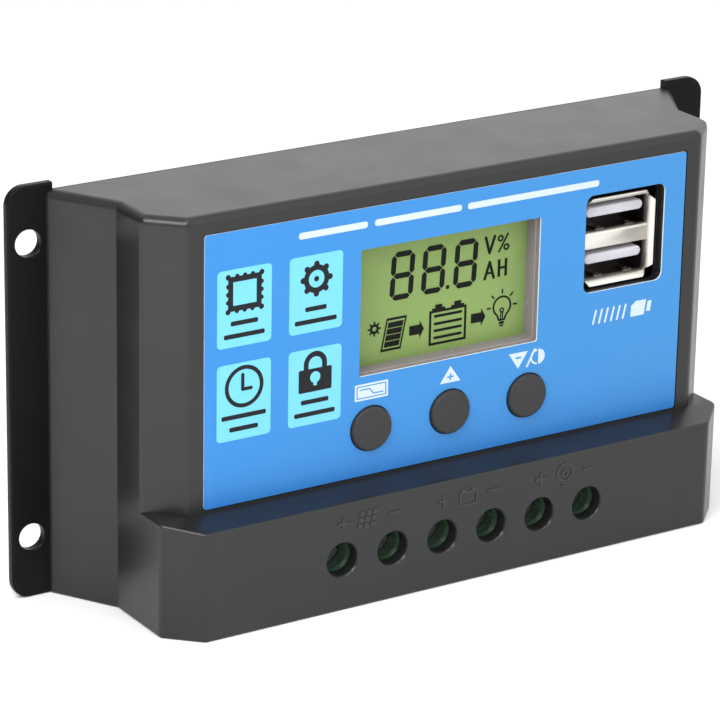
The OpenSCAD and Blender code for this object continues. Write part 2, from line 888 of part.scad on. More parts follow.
module diode_leads() {
    color([0.8, 0.8, 0.78])
        for (p = diode_places, s = sides) {
            x = p[0] + s * (diode_l / 2 + 0.9);
            block([x - 0.9, board_front - diode_d / 2 - 0.5, p[1] - 0.5],
                [x + 0.9, board_front - diode_d / 2 + 0.5, p[1] + 0.5]);
            block([x - 0.5, board_front - diode_d / 2, p[1] - 0.5],
                [x + 0.5, board_front, p[1] + 0.5]);
        }
}

// Thick wire loop that senses the load current
module current_shunt() {
    color([0.72, 0.55, 0.4]) {
        translate([shunt_place[0], board_front - 4, shunt_place[1]])
            rotate([0, 90, 0])
                cylinder(d = shunt_d, h = shunt_span, center = true);
        for (s = sides)
            rod(shunt_place[0] + s * (shunt_span - shunt_d) / 2, shunt_place[1],
                board_front - 4, board_front, shunt_d);
    }
}

// ---------------------------------------------------------------- drawing

front_case();
front_label();
back_plate();
back_screws();
main_board();
board_screws();
display_bezel();
lcd_cell();
lcd_backlight();
lcd_pins();
usb_shell();
usb_core();
usb_contacts();
switch_bases();
switch_covers();
switch_domes();
terminal_block();
terminal_bars();
mosfet_bodies();
mosfet_tabs();
mosfet_leads();
thermal_pad();
capacitors();
choke_core();
choke_winding();
control_chip();
chip_legs_row();
diodes();
diode_leads();
current_shunt();
button_cap(0);  // menu_button
button_cap(1);  // up_button
button_cap(2);  // down_button
switch_stem(0);  // menu_stem
switch_stem(1);  // up_stem
switch_stem(2);  // down_stem
terminal_screw(1);  // terminal_screw_1
terminal_screw(2);  // terminal_screw_2
terminal_screw(3);  // terminal_screw_3
terminal_screw(4);  // terminal_screw_4
terminal_screw(5);  // terminal_screw_5
terminal_screw(6);  // terminal_screw_6
clamp_cage(1);  // clamp_cage_1
clamp_cage(2);  // clamp_cage_2
clamp_cage(3);  // clamp_cage_3
clamp_cage(4);  // clamp_cage_4
clamp_cage(5);  // clamp_cage_5
clamp_cage(6);  // clamp_cage_6
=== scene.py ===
"""Solar charge controller: surfaces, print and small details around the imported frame.

Lengths are in metres in the row frame. Drawings on a flat surface are in millimetres,
measured from a point of that surface, with u to the right and v upwards.
"""

import json
import math

import bmesh
import bpy
from mathutils import Matrix, Vector

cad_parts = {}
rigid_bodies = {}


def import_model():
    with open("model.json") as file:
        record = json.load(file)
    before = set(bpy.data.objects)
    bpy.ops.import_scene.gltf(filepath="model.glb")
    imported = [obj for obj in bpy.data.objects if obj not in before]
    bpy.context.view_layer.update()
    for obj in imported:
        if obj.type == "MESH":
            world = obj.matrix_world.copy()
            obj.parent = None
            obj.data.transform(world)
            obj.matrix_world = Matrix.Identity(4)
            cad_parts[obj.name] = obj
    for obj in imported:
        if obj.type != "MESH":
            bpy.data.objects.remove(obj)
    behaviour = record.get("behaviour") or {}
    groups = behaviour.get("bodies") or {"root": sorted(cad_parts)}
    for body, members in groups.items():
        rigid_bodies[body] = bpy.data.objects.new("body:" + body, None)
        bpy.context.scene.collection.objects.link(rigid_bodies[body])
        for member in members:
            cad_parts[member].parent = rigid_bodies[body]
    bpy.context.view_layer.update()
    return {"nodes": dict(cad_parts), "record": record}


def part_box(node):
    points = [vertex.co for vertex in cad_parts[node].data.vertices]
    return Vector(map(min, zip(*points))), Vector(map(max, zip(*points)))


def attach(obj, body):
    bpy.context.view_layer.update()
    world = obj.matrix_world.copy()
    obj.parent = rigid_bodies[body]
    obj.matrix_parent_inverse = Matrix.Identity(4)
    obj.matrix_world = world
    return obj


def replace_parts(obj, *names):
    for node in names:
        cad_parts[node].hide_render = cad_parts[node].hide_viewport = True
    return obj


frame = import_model()

MM = 0.001
POLES = range(1, 7)
KEYS = ("menu", "up", "down")
CASE = "case"

case_low, case_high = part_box("front_case")
label_low, label_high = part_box("front_label")
glass_low, glass_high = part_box("lcd_cell")
bezel_low, bezel_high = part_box("display_bezel")
face_y = label_low.y
front_y = case_low.y


def middle(node):
    low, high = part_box(node)
    return (low + high) / 2


def mount(name):
    return next(m for m in frame["record"]["mounts"] if m["name"] == name)


# ---- making pieces


def place(name, mesh, material, body):
    """Links a mesh as a piece that moves with a body."""
    piece = bpy.data.objects.new(name, mesh)
    bpy.context.scene.collection.objects.link(piece)
    piece.data.materials.clear()
    piece.data.materials.append(material)
    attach(piece, body)
    return piece


def mesh_of(bm, name, sharp=35):
    """Turns a bmesh into a mesh that is smooth except at edges sharper than an angle in degrees."""
    bmesh.ops.recalc_face_normals(bm, faces=bm.faces)
    mesh = bpy.data.meshes.new(name)
    bm.to_mesh(mesh)
    bm.free()
    mesh.polygons.foreach_set("use_smooth", [True] * len(mesh.polygons))
    mesh.set_sharp_from_angle(angle=math.radians(sharp))
    return mesh


def rounded_mesh(bm, widths):
    """Rounds each edge of a bmesh by its own width, which widths gives as edge index to length."""
    widest = 2 * MM
    layer = bm.edges.layers.float.new("bevel_weight_edge")
    for edge in bm.edges:
        edge[layer] = widths.get(edge.index, 0) / widest
    mesh = bpy.data.meshes.new("solid")
    bm.to_mesh(mesh)
    bm.free()
    carrier = bpy.data.objects.new("solid", mesh)
    bpy.context.scene.collection.objects.link(carrier)
    bevel = carrier.modifiers.new("round", "BEVEL")
    bevel.limit_method = "WEIGHT"
    bevel.width = widest
    bevel.segments = 5
    bevel.use_clamp_overlap = False
    graph = bpy.context.evaluated_depsgraph_get()
    result = bpy.data.meshes.new_from_object(carrier.evaluated_get(graph))
    bpy.data.objects.remove(carrier)
    bpy.data.meshes.remove(mesh)
    return result


def loft(bm, loops, closed=False):
    """Joins loops of points, each as long as the last, and caps the ends unless it is closed."""
    rows = [[bm.verts.new(point) for point in loop] for loop in loops]
    for near, far in zip(rows, rows[1:] + rows[: int(closed)]):
        for i in range(len(near)):
            j = (i + 1) % len(near)
            bm.faces.new((near[i], near[j], far[j], far[i]))
    if not closed:
        bm.faces.new(rows[0])
        bm.faces.new(list(reversed(rows[-1])))


def arc(u, v, radius, start, end, count):
    """Points on an arc, with angles in degrees."""
    angles = [math.radians(start + (end - start) * i / count) for i in range(count + 1)]
    return [(u + radius * math.cos(a), v + radius * math.sin(a)) for a in angles]


def circle(u, v, radius, count=48):
    """Points on a full circle."""
    return arc(u, v, radius, 0, 360, count)[:-1]


def rounded_box(u0, v0, u1, v1, radius=0.0, steps=5):
    """Outline of a rectangle, with round corners if it has a radius."""
    if not radius:
        return [(u0, v0), (u1, v0), (u1, v1), (u0, v1)]
    return (
        arc(u1 - radius, v0 + radius, radius, -90, 0, steps)
        + arc(u1 - radius, v1 - radius, radius, 0, 90, steps)
        + arc(u0 + radius, v1 - radius, radius, 90, 180, steps)
        + arc(u0 + radius, v0 + radius, radius, 180, 270, steps)
    )


def upright(outline, y, x=0.0, z=0.0):
    """An outline stood up in the face's plane at a depth y, and moved by x and z."""
    return [(x + u, y, z + v) for u, v in outline]


class Drawing:
    """Thin closed shapes on a plane that faces the viewer, drawn in millimetres about a point."""

    def __init__(self, x, z, surface_y, height):
        sunk = 0.01 * MM
        self.bm = bmesh.new()
        self.x = x
        self.z = z
        self.near = surface_y - height
        self.far = surface_y + sunk
        self.shapes = 0
        self.about(0, 0)

    def about(self, u, v):
        """Chooses the point that the next shapes are drawn about."""
        self.u = u
        self.v = v

    def points(self, outline, y):
        return [(self.x + (self.u + u) * MM, y, self.z + (self.v + v) * MM) for u, v in outline]

    def front(self):
        """The next shape's front, stepped so that shapes which overlap don't share a plane."""
        self.shapes += 1
        return self.near - self.shapes % 20 * 0.0005 * MM

    def plate(self, outline):
        loft(self.bm, [self.points(outline, self.front()), self.points(outline, self.far)])

    def ring(self, outer, inner):
        near = self.front()
        loops = [(outer, near), (outer, self.far), (inner, self.far), (inner, near)]
        loft(self.bm, [self.points(outline, y) for outline, y in loops], closed=True)

    def bar(self, u0, v0, u1, v1, radius=0.0):
        self.plate(rounded_box(u0, v0, u1, v1, radius))

    def line(self, start, end, width):
        """A straight line with round ends."""
        angle = math.degrees(math.atan2(end[1] - start[1], end[0] - start[0]))
        self.plate(
            arc(*end, width / 2, angle - 90, angle + 90, 8)
            + arc(*start, width / 2, angle + 90, angle + 270, 8)
        )

    def path(self, points, width):
        for start, end in zip(points, points[1:]):
            self.line(start, end, width)

    def disc(self, u, v, radius):
        self.plate(circle(u, v, radius))

    def rays(self, inner, outer, width, angles):
        for degrees in angles:
            a = math.radians(degrees)
            c, s = math.cos(a), math.sin(a)
            self.line((inner * c, inner * s), (outer * c, outer * s), width)

    def piece(self, name, material, slot):
        return place(name, mesh_of(self.bm, name), material, CASE)


# ---- materials


class Shader:
    """A material with a principled shader and short ways to add nodes to it."""

    def __init__(self, name, colour, roughness, **settings):
        self.material = bpy.data.materials.new(name)
        self.material.use_nodes = True
        self.tree = self.material.node_tree
        self.surface = self.tree.nodes["Principled BSDF"]
        self.surface.inputs["Base Color"].default_value = (*colour, 1)
        self.surface.inputs["Roughness"].default_value = roughness
        for socket, value in settings.items():
            self.surface.inputs[socket.replace("_", " ")].default_value = value
        self.place = self.node("ShaderNodeTexCoord").outputs["Object"]

    def node(self, kind, **settings):
        node = self.tree.nodes.new(kind)
        for name, value in settings.items():
            setattr(node, name, value)
        return node

    def link(self, source, target):
        self.tree.links.new(source, target)

    def stretched(self, scale):
        """Object coordinates, stretched for grain that runs one way."""
        mapping = self.node("ShaderNodeMapping")
        mapping.inputs["Scale"].default_value = scale
        self.link(self.place, mapping.inputs["Vector"])
        return mapping.outputs["Vector"]

    def noise(self, size, detail=3, where=None):
        """Cloudy noise whose features are about size metres wide."""
        node = self.node("ShaderNodeTexNoise")
        node.inputs["Scale"].default_value = 1 / size
        node.inputs["Detail"].default_value = detail
        self.link(where or self.place, node.inputs["Vector"])
        return node.outputs["Fac"]

    def cells(self, size, feature="F1"):
        node = self.node("ShaderNodeTexVoronoi", feature=feature)
        node.inputs["Scale"].default_value = 1 / size
        self.link(self.place, node.inputs["Vector"])
        return node.outputs["Distance"]

    def ramp(self, factor, stops):
        """Colours along a factor, from stops of (position, colour)."""
        node = self.node("ShaderNodeValToRGB")
        elements = node.color_ramp.elements
        while len(elements) < len(stops):
            elements.new(0.5)
        for element, (position, colour) in zip(elements, stops):
            element.position = position
            element.color = (*colour, 1)
        self.link(factor, node.inputs["Fac"])
        return node.outputs["Color"]

    def between(self, factor, low, high, start=0.3, end=0.7):
        """A factor that runs from start to end, mapped to values from low to high."""
        node = self.node("ShaderNodeMapRange")
        node.inputs["From Min"].default_value = start
        node.inputs["From Max"].default_value = end
        node.inputs["To Min"].default_value = low
        node.inputs["To Max"].default_value = high
        self.link(factor, node.inputs["Value"])
        return node.outputs["Result"]

    def mix(self, factor, first, second):
        """Two colours, each a socket or a plain colour, mixed by a factor."""
        node = self.node("ShaderNodeMix", data_type="RGBA")
        self.link(factor, node.inputs["Factor"])
        for name, value in (("A", first), ("B", second)):
            socket = [i for i in node.inputs if i.name == name and i.type == "RGBA"][0]
            if isinstance(value, tuple):
                socket.default_value = (*value, 1)
            else:
                self.link(value, socket)
        return [o for o in node.outputs if o.type == "RGBA"][0]

    def axis(self, vector, name):
        node = self.node("ShaderNodeSeparateXYZ")
        self.link(vector, node.inputs["Vector"])
        return node.outputs[name]

    def colour(self, socket):
        self.link(socket, self.surface.inputs["Base Color"])

    def rough(self, socket):
        self.link(socket, self.surface.inputs["Roughness"])

    def bump(self, *layers):
        """Relief from (height socket, depth in metres) layers, the finest last."""
        below = None
        for height, depth in layers:
            node = self.node("ShaderNodeBump")
            node.inputs["Strength"].default_value = 1
            node.inputs["Distance"].default_value = depth
            self.link(height, node.inputs["Height"])
            if below:
                self.link(below, node.inputs["Normal"])
            below = node.outputs["Normal"]
        self.link(below, self.surface.inputs["Normal"])


def case_plastic(name="case_plastic", colour=(0.012, 0.012, 0.0125), gloss=0.5):
    """Black moulded plastic with a fine spark-eroded grain and a slightly uneven gloss."""
    s = Shader(name, colour, 0.3, IOR=1.46, Specular_IOR_Level=gloss)
    tone = s.noise(9 * MM, 4)
    dark, light = (tuple(c * scale for c in colour) for scale in (0.8, 1.25))
    s.colour(s.mix(tone, dark, light))
    s.rough(s.between(s.noise(8 * MM, 2), 0.28, 0.34))
    s.bump((s.noise(30 * MM, 2), 0.03 * MM), (s.noise(0.35 * MM, 3), 0.006 * MM))
    return s.material


def label_film():
    """Blue printed film: lighter to the right, white where it is cut, and darker at its foot, where
    a painted reflection of the dark ledge below is laid into the colour.
    """
    s = Shader("label_film", (0.1, 0.35, 0.8), 0.3, Specular_IOR_Level=0.3)
    across = s.between(s.axis(s.place, "X"), 0, 1, label_low.x, label_high.x)
    up = s.between(s.axis(s.place, "Z"), 0, 1, label_low.z, label_high.z)
    sideways = s.ramp(across, [(0, (0.03, 0.215, 0.57)), (1, (0.043, 0.24, 0.56))])
    # painted reflection: this ramp darkens the foot of the film to stand in for the dark ledge
    # below mirrored in it; printed and the mottling mix below carry it on
    foot = s.ramp(up, [(0, (0.024, 0.18, 0.52)), (0.16, (0.03, 0.215, 0.57))])
    printed = s.mix(s.between(up, 0, 1, 0, 0.2), foot, sideways)
    mottle_and_foot_shade = s.mix(s.between(s.noise(14 * MM, 2), 0, 0.25), printed, (0.038, 0.225, 0.57))
    facing = s.node("ShaderNodeMath", operation="ABSOLUTE")
    s.link(s.axis(s.node("ShaderNodeNewGeometry").outputs["Normal"], "Y"), facing.inputs[0])
    s.colour(s.mix(s.between(facing.outputs[0], 0, 1, 0.4, 0.6), (0.8, 0.86, 0.92), mottle_and_foot_shade))
    s.rough(s.between(s.noise(6 * MM, 2), 0.29, 0.33))
    s.bump((s.noise(0.25 * MM, 2), 0.0008 * MM))
    return s.material


def ink(name, colour, roughness=0.34):
    """Screen-printed ink with a faint mesh texture and slightly uneven cover."""
    s = Shader(name, colour, roughness, Specular_IOR_Level=0.2)
    s.colour(s.mix(s.noise(0.6 * MM, 3), tuple(c * 0.93 for c in colour), colour))
    s.bump((s.noise(0.2 * MM, 2), 0.003 * MM))
    return s.material


def lcd_green():
    """Green reflective display under a satin polariser, lighter and yellower to the right."""
    s = Shader("lcd_green", (0.19, 0.28, 0.09), 0.4, Specular_IOR_Level=0.3)
    across = s.between(s.axis(s.place, "X"), 0, 1, glass_low.x, glass_high.x)
    tone = s.ramp(
        across,
        [(0, (0.19, 0.285, 0.085)), (0.5, (0.205, 0.312, 0.088)), (1, (0.21, 0.315, 0.10))],
    )
    s.colour(s.mix(s.between(s.noise(4 * MM, 3), 0, 0.4), tone, (0.185, 0.28, 0.08)))
    s.bump((s.noise(0.12 * MM, 1), 0.002 * MM))
    return s.material


def lcd_black():
    """Switched-on display segments, nearly black and duller than the film round them."""
    s = Shader("lcd_black", (0.003, 0.004, 0.003), 0.45, Specular_IOR_Level=0.12)
    s.colour(s.mix(s.noise(0.8 * MM, 2), (0.002, 0.003, 0.002), (0.005, 0.007, 0.004)))
    return s.material


def bezel_plastic():
    """Warm grey satin plastic round the display."""
    s = Shader("bezel_plastic", (0.23, 0.205, 0.215), 0.22)
    s.colour(s.mix(s.noise(5 * MM, 3), (0.215, 0.185, 0.19), (0.24, 0.21, 0.215)))
    s.rough(s.between(s.noise(1.5 * MM, 4), 0.2, 0.28))
    s.bump((s.noise(0.3 * MM, 2), 0.0004 * MM))
    return s.material


def button_plastic():
    """Brown-black button plastic, finer and duller than the case."""
    s = Shader("button_plastic", (0.03, 0.026, 0.024), 0.5, Specular_IOR_Level=0.35)
    s.colour(s.mix(s.noise(1.2 * MM, 4), (0.022, 0.0215, 0.023), (0.03, 0.029, 0.031)))
    s.rough(s.between(s.noise(0.8 * MM, 4), 0.42, 0.58))
    s.bump((s.noise(0.22 * MM, 3), 0.006 * MM))
    return s.material


def metal(name, colour, roughness, grain=0.35, along=(1, 1, 1), spread=0.3, relief=0.002):
    """Bare or plated metal with drawn or rolled grain along one axis."""
    s = Shader(name, colour, roughness, Metallic=1.0)
    lines = s.noise(grain * MM, 4, s.stretched(along))
    s.colour(s.mix(lines, tuple(c * 0.86 for c in colour), colour))
    s.rough(s.between(lines, roughness * (1 - spread), roughness * (1 + spread)))
    s.bump((lines, relief * MM))
    return s.material


def moulding(name, colour, roughness, grain=0.3, relief=0.004):
    """Plain moulded plastic, rubber or resin with flow mottling and a fine grain."""
    s = Shader(name, colour, roughness)
    s.colour(s.mix(s.noise(3 * MM, 4), tuple(c * 0.82 for c in colour), colour))
    s.rough(s.between(s.noise(1.5 * MM, 4), roughness * 0.85, roughness * 1.15))
    s.bump((s.noise(grain * MM, 3), relief * MM))
    return s.material


def floor_paper():
    """Pale seamless paper with a faint tooth."""
    s = Shader("floor_paper", (0.92, 0.92, 0.92), 0.85, Specular_IOR_Level=0.2)
    s.colour(s.mix(s.noise(40 * MM, 3), (0.91, 0.91, 0.91), (0.93, 0.93, 0.93)))
    s.bump((s.noise(0.8 * MM, 3), 0.01 * MM))
    return s.material


# ---- stage


def camera():
    """The viewing angle: turned to the left of the front and looking down on it."""
    azimuth, elevation, roll = (math.radians(a) for a in (-32.851, 20.034, 1.102))
    target = Vector((-10.734, -15, -0.608)) * MM
    distance = 670.6 * MM
    back = Vector(
        (
            math.sin(azimuth) * math.cos(elevation),
            -math.cos(azimuth) * math.cos(elevation),
            math.sin(elevation),
        )
    )
    right = Vector((math.cos(azimuth), math.sin(azimuth), 0))
    up = back.cross(right)
    turned_right = right * math.cos(roll) + up * math.sin(roll)
    turned_up = up * math.cos(roll) - right * math.sin(roll)
    data = bpy.data.cameras.new("camera")
    data.lens = 185.035
    data.sensor_width = 36
    data.clip_start = 0.01
    data.clip_end = 20
    eye = bpy.data.objects.new("camera", data)
    eye.matrix_world = Matrix.Translation(target + back * distance) @ (
        Matrix((turned_right, turned_up, back)).transposed().to_4x4()
    )
    bpy.context.scene.collection.objects.link(eye)
    bpy.context.scene.camera = eye


def floor():
    """Round sheet of paper under the object."""
    bm = bmesh.new()
    gap = 0.02 * MM
    bmesh.ops.create_circle(bm, cap_ends=True, segments=96, radius=4)
    bmesh.ops.translate(bm, verts=bm.verts, vec=(0, 0, case_low.z - gap))
    mesh = bpy.data.meshes.new("floor")
    bm.to_mesh(mesh)
    bm.free()
    sheet = bpy.data.objects.new("floor", mesh)
    sheet.data.materials.append(floor_paper())
    bpy.context.scene.collection.objects.link(sheet)


AMBIENT = 0.8
BACK_GAIN = 0.58
BACK_LEFT_LOSS = -0.75
KEY_POWER = 6.2
OVERHEAD_POWER = 2.0
POOL_POWER = 1.4


def softbox(name, direction, distance, size, power):
    """A square area light that faces the object from a direction."""
    data = bpy.data.lights.new(name, "AREA")
    data.shape = "SQUARE"
    data.size = size
    data.energy = power
    light = bpy.data.objects.new(name, data)
    away = Vector(direction).normalized()
    light.location = away * distance
    light.visible_camera = False
    light.rotation_euler = away.to_track_quat("Z", "Y").to_euler()
    bpy.context.scene.collection.objects.link(light)
    return light


def world():
    """Pale surroundings, brightest behind at the right and dim behind at the left."""
    surroundings = bpy.data.worlds.new("studio")
    bpy.context.scene.world = surroundings
    surroundings.use_nodes = True
    nodes, links = surroundings.node_tree.nodes, surroundings.node_tree.links
    direction = nodes.new("ShaderNodeTexCoord").outputs["Generated"]
    total = None
    for towards, start, change in (
        ((0.5, 0.8, 0.33), 0.3, BACK_GAIN),
        ((-0.62, 0.76, 0.0), 0.25, BACK_LEFT_LOSS),
    ):
        facing = nodes.new("ShaderNodeVectorMath")
        facing.operation = "DOT_PRODUCT"
        facing.inputs[1].default_value = towards
        links.new(direction, facing.inputs[0])
        ramp = nodes.new("ShaderNodeMapRange")
        ramp.interpolation_type = "SMOOTHSTEP"
        ramp.inputs["From Min"].default_value = start
        ramp.inputs["To Max"].default_value = change
        ramp.inputs["To Min"].default_value = 0
        links.new(facing.outputs["Value"], ramp.inputs["Value"])
        add = nodes.new("ShaderNodeMath")
        add.inputs[1].default_value = AMBIENT
        if total:
            links.new(total, add.inputs[1])
        links.new(ramp.outputs["Result"], add.inputs[0])
        total = add.outputs["Value"]
    nodes["Background"].inputs["Color"].default_value = (1, 1, 1, 1)
    links.new(total, nodes["Background"].inputs["Strength"])


def studio():
    """A key light, one overhead, and one that brightens the floor which the left side mirrors."""
    camera()
    floor()
    world()
    softbox("key", (0.5, -1, 0.75), distance=1.3, size=1.6, power=KEY_POWER)
    softbox("overhead", (-0.1, -0.25, 1), distance=0.9, size=0.35, power=OVERHEAD_POWER)
    pool = softbox("pool", (0, 0, 1), distance=0.26, size=0.2, power=POOL_POWER)
    beside_flank = Vector((-0.29, -0.18, 0))
    pool.location += beside_flank
    bpy.context.scene.view_settings.view_transform = "Standard"


# ---- case

WALL = 2.2 * MM
TERMINAL_WALL = 2.6 * MM
TOP_ROUND = 1.6 * MM
CORNER_ROUND = 0.7 * MM
EDGE_ROUND = 0.45 * MM
EAR_CORNER = 3.5 * MM
EAR_LAP = 1.4 * MM
CLEAR = 1 * MM


def case_corners():
    """Main corners of the case from above, and the height of its ledge, from the CAD mesh."""
    points = [v.co for v in frame["nodes"]["front_case"].data.vertices]
    tiny = 0.01 * MM

    def far(test):
        return max(abs(p.x) for p in points if test(p))

    face_half = far(lambda p: abs(p.y - face_y) < tiny and p.z > label_high.z)
    waist_half = far(lambda p: p.y < face_y / 2)
    waist = [p for p in points if abs(abs(p.x) - waist_half) < tiny]
    upper = [p for p in waist if p.z > label_low.z]
    ear_front = min(p.y for p in points if p.x > case_high.x - tiny)
    ear_flat = case_high.x - EAR_CORNER - tiny
    base_half = far(
        lambda p: p.z < case_low.z + tiny and abs(p.y - ear_front) < tiny and abs(p.x) < ear_flat
    )
    return {
        "face_half": face_half,
        "waist_half": waist_half,
        "waist_y": max(p.y for p in waist if p.z < case_low.z + tiny),
        "shoulder_y": min(p.y for p in upper),
        "base_half": base_half,
        "ear_front": ear_front,
        "ledge_z": max(p.z for p in waist if p.z < label_low.z),
        "ledge_front_z": max(p.z for p in points if abs(p.y - front_y) < tiny),
        "top_z": max(p.z for p in points if abs(p.x) < waist_half),
    }


def front_outline(c, near_y, rear_y, inset=0.0):
    """The bevelled front part from above, counter-clockwise."""
    bevel_share = 0.41
    at_bevel = inset * bevel_share
    half, waist = c["face_half"] - at_bevel, c["waist_half"] - inset
    shoulder = near_y + (c["shoulder_y"] - face_y) + at_bevel
    return [
        (-half, near_y + inset),
        (half, near_y + inset),
        (waist, shoulder),
        (waist, rear_y),
        (-waist, rear_y),
        (-waist, shoulder),
    ]


def flare_outline(c, rear_y, inset=0.0):
    """The flanks from above: their front corners are buried in the front part."""
    run = (c["ear_front"] - c["waist_y"]) / (c["base_half"] - c["waist_half"])
    buried = 1.5 * MM
    front_half = c["waist_half"] - buried
    side = c["base_half"] - inset
    return [
        (-front_half + inset, c["waist_y"] - buried * run),
        (front_half - inset, c["waist_y"] - buried * run),
        (side, c["ear_front"]),
        (side, rear_y),
        (-side, rear_y),
        (-side, c["ear_front"]),
    ]


def prism(outline, low_z, high_z):
    """A solid along Z with an outline seen from above."""
    bm = bmesh.new()
    loft(bm, [[(x, y, z) for x, y in outline] for z in (low_z, high_z)])
    bmesh.ops.recalc_face_normals(bm, faces=bm.faces)
    return bm


def rounded_solid(bm, top_z, top_round):
    """Rounds a convex solid: its top edges by top_round, the others by how sharp they are."""
    flat, square = 12, 60
    bm.edges.index_update()
    widths = {}
    for edge in bm.edges:
        angle = math.degrees(edge.calc_face_angle(0))
        at_top = all(abs(v.co.z - top_z) < 0.01 * MM for v in edge.verts)
        if angle < flat:
            continue
        if at_top:
            widths[edge.index] = top_round
        elif angle < square:
            widths[edge.index] = CORNER_ROUND
        else:
            widths[edge.index] = EDGE_ROUND
    return rounded_mesh(bm, widths)


def rod(bm, x, z, sections, count=48):
    """A turned solid along Y, from (y, radius) sections."""
    loft(bm, [upright(circle(0, 0, r, count), y, x, z) for y, r in sections])


def slab(bm, low, high, radius=0.0):
    """A block in the face's plane, with round corners if it has a radius."""
    outline = rounded_box(low[0], low[2], high[0], high[2], radius)
    loft(bm, [upright(outline, y) for y in (low[1], high[1])])


def combine(base, tools):
    """Adds or cuts meshes one after another, from (mesh, operation) pairs."""
    carrier = bpy.data.objects.new("carrier", base)
    scene_objects = bpy.context.scene.collection.objects
    scene_objects.link(carrier)
    others = []
    for mesh, operation in tools:
        other = bpy.data.objects.new("tool", mesh)
        scene_objects.link(other)
        others.append(other)
        modifier = carrier.modifiers.new("combine", "BOOLEAN")
        modifier.operation = operation
        modifier.solver = "EXACT"
        modifier.object = other
    graph = bpy.context.evaluated_depsgraph_get()
    result = bpy.data.meshes.new_from_object(carrier.evaluated_get(graph))
    for thing in (carrier, *others):
        bpy.data.objects.remove(thing)
    return result


def ear(bm, c, side):
    """A mounting ear with rounded edges, which reaches a little into the case."""
    root, tip = c["base_half"] - EAR_LAP, case_high.x
    sections = [(0.4, 0.0), (0.2, 0.05), (0.05, 0.2), (0.0, 0.4)]
    near = [(inset * MM, c["ear_front"] + depth * MM) for inset, depth in sections]
    far = [(inset * MM, -depth * MM) for inset, depth in reversed(sections)]
    loops = []
    for inset, y in near + far:
        low_z, high_z = case_low.z + inset, case_high.z - inset
        radius = EAR_CORNER - inset
        corner_x = tip - inset - radius
        outline = (
            [(root, low_z)]
            + arc(corner_x, low_z + radius, radius, -90, 0, 8)
            + arc(corner_x, high_z - radius, radius, 0, 90, 8)
            + [(root, high_z)]
        )
        loops.append([(side * x, y, z) for x, z in outline])
    loft(bm, loops)


def raw_mesh(bm):
    """Turns a bmesh into a mesh for adding or cutting."""
    bmesh.ops.recalc_face_normals(bm, faces=bm.faces)
    mesh = bpy.data.meshes.new("raw")
    bm.to_mesh(mesh)
    bm.free()
    return mesh


def case_shell(c):
    """Outer solids of the case, each with its edges already rounded."""
    bottom, top = case_low.z, c["top_z"]
    upper = prism(front_outline(c, face_y, -CLEAR), c["ledge_z"] - 2 * MM, top)
    flare = prism(flare_outline(c, 0), bottom, top)
    housing = prism(front_outline(c, front_y, -CLEAR), bottom, c["ledge_z"])
    fall = Vector((0, c["ledge_front_z"] - c["ledge_z"], face_y - front_y)).normalized()
    bmesh.ops.bisect_plane(
        housing,
        geom=housing.verts[:] + housing.edges[:] + housing.faces[:],
        plane_co=(0, face_y, c["ledge_z"]),
        plane_no=fall,
        clear_outer=True,
    )
    bmesh.ops.holes_fill(housing, edges=[e for e in housing.edges if e.is_boundary])
    bmesh.ops.recalc_face_normals(housing, faces=housing.faces)
    return (
        rounded_solid(flare, top, TOP_ROUND),
        [
            rounded_solid(upper, top, TOP_ROUND),
            rounded_solid(housing, c["ledge_z"], EDGE_ROUND),
        ],
    )


def case_hollow(c):
    """What the walls leave free inside."""
    bottom, top = case_low.z + WALL, c["top_z"] - WALL
    behind = 2 * WALL
    ledge = c["ledge_front_z"] - WALL
    near = front_y + TERMINAL_WALL - WALL
    return [
        raw_mesh(prism(front_outline(c, face_y, behind, WALL), bottom, top)),
        raw_mesh(prism(flare_outline(c, behind, WALL), bottom, top)),
        raw_mesh(prism(front_outline(c, near, behind, WALL), bottom, ledge)),
    ]


def boss_places():
    """(x, z, tip y, root y, radius) of the bosses for the board and for the cooling plate."""
    board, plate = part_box("board_screws"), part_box("back_screws")
    board_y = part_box("main_board")[0].y
    head, plate_head = 2.5 * MM, 2.6 * MM
    for side in (-1, 1):
        for z in (board[0].z + head, board[1].z - head):
            root = front_y if z < label_low.z else face_y
            yield side * (board[1].x - head), z, board_y, root + MM, 3 * MM
        for z in (plate[0].z + plate_head, plate[1].z - plate_head):
            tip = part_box("back_plate")[0].y
            yield side * (plate[1].x - plate_head), z, tip, tip - 9 * MM, 3.5 * MM


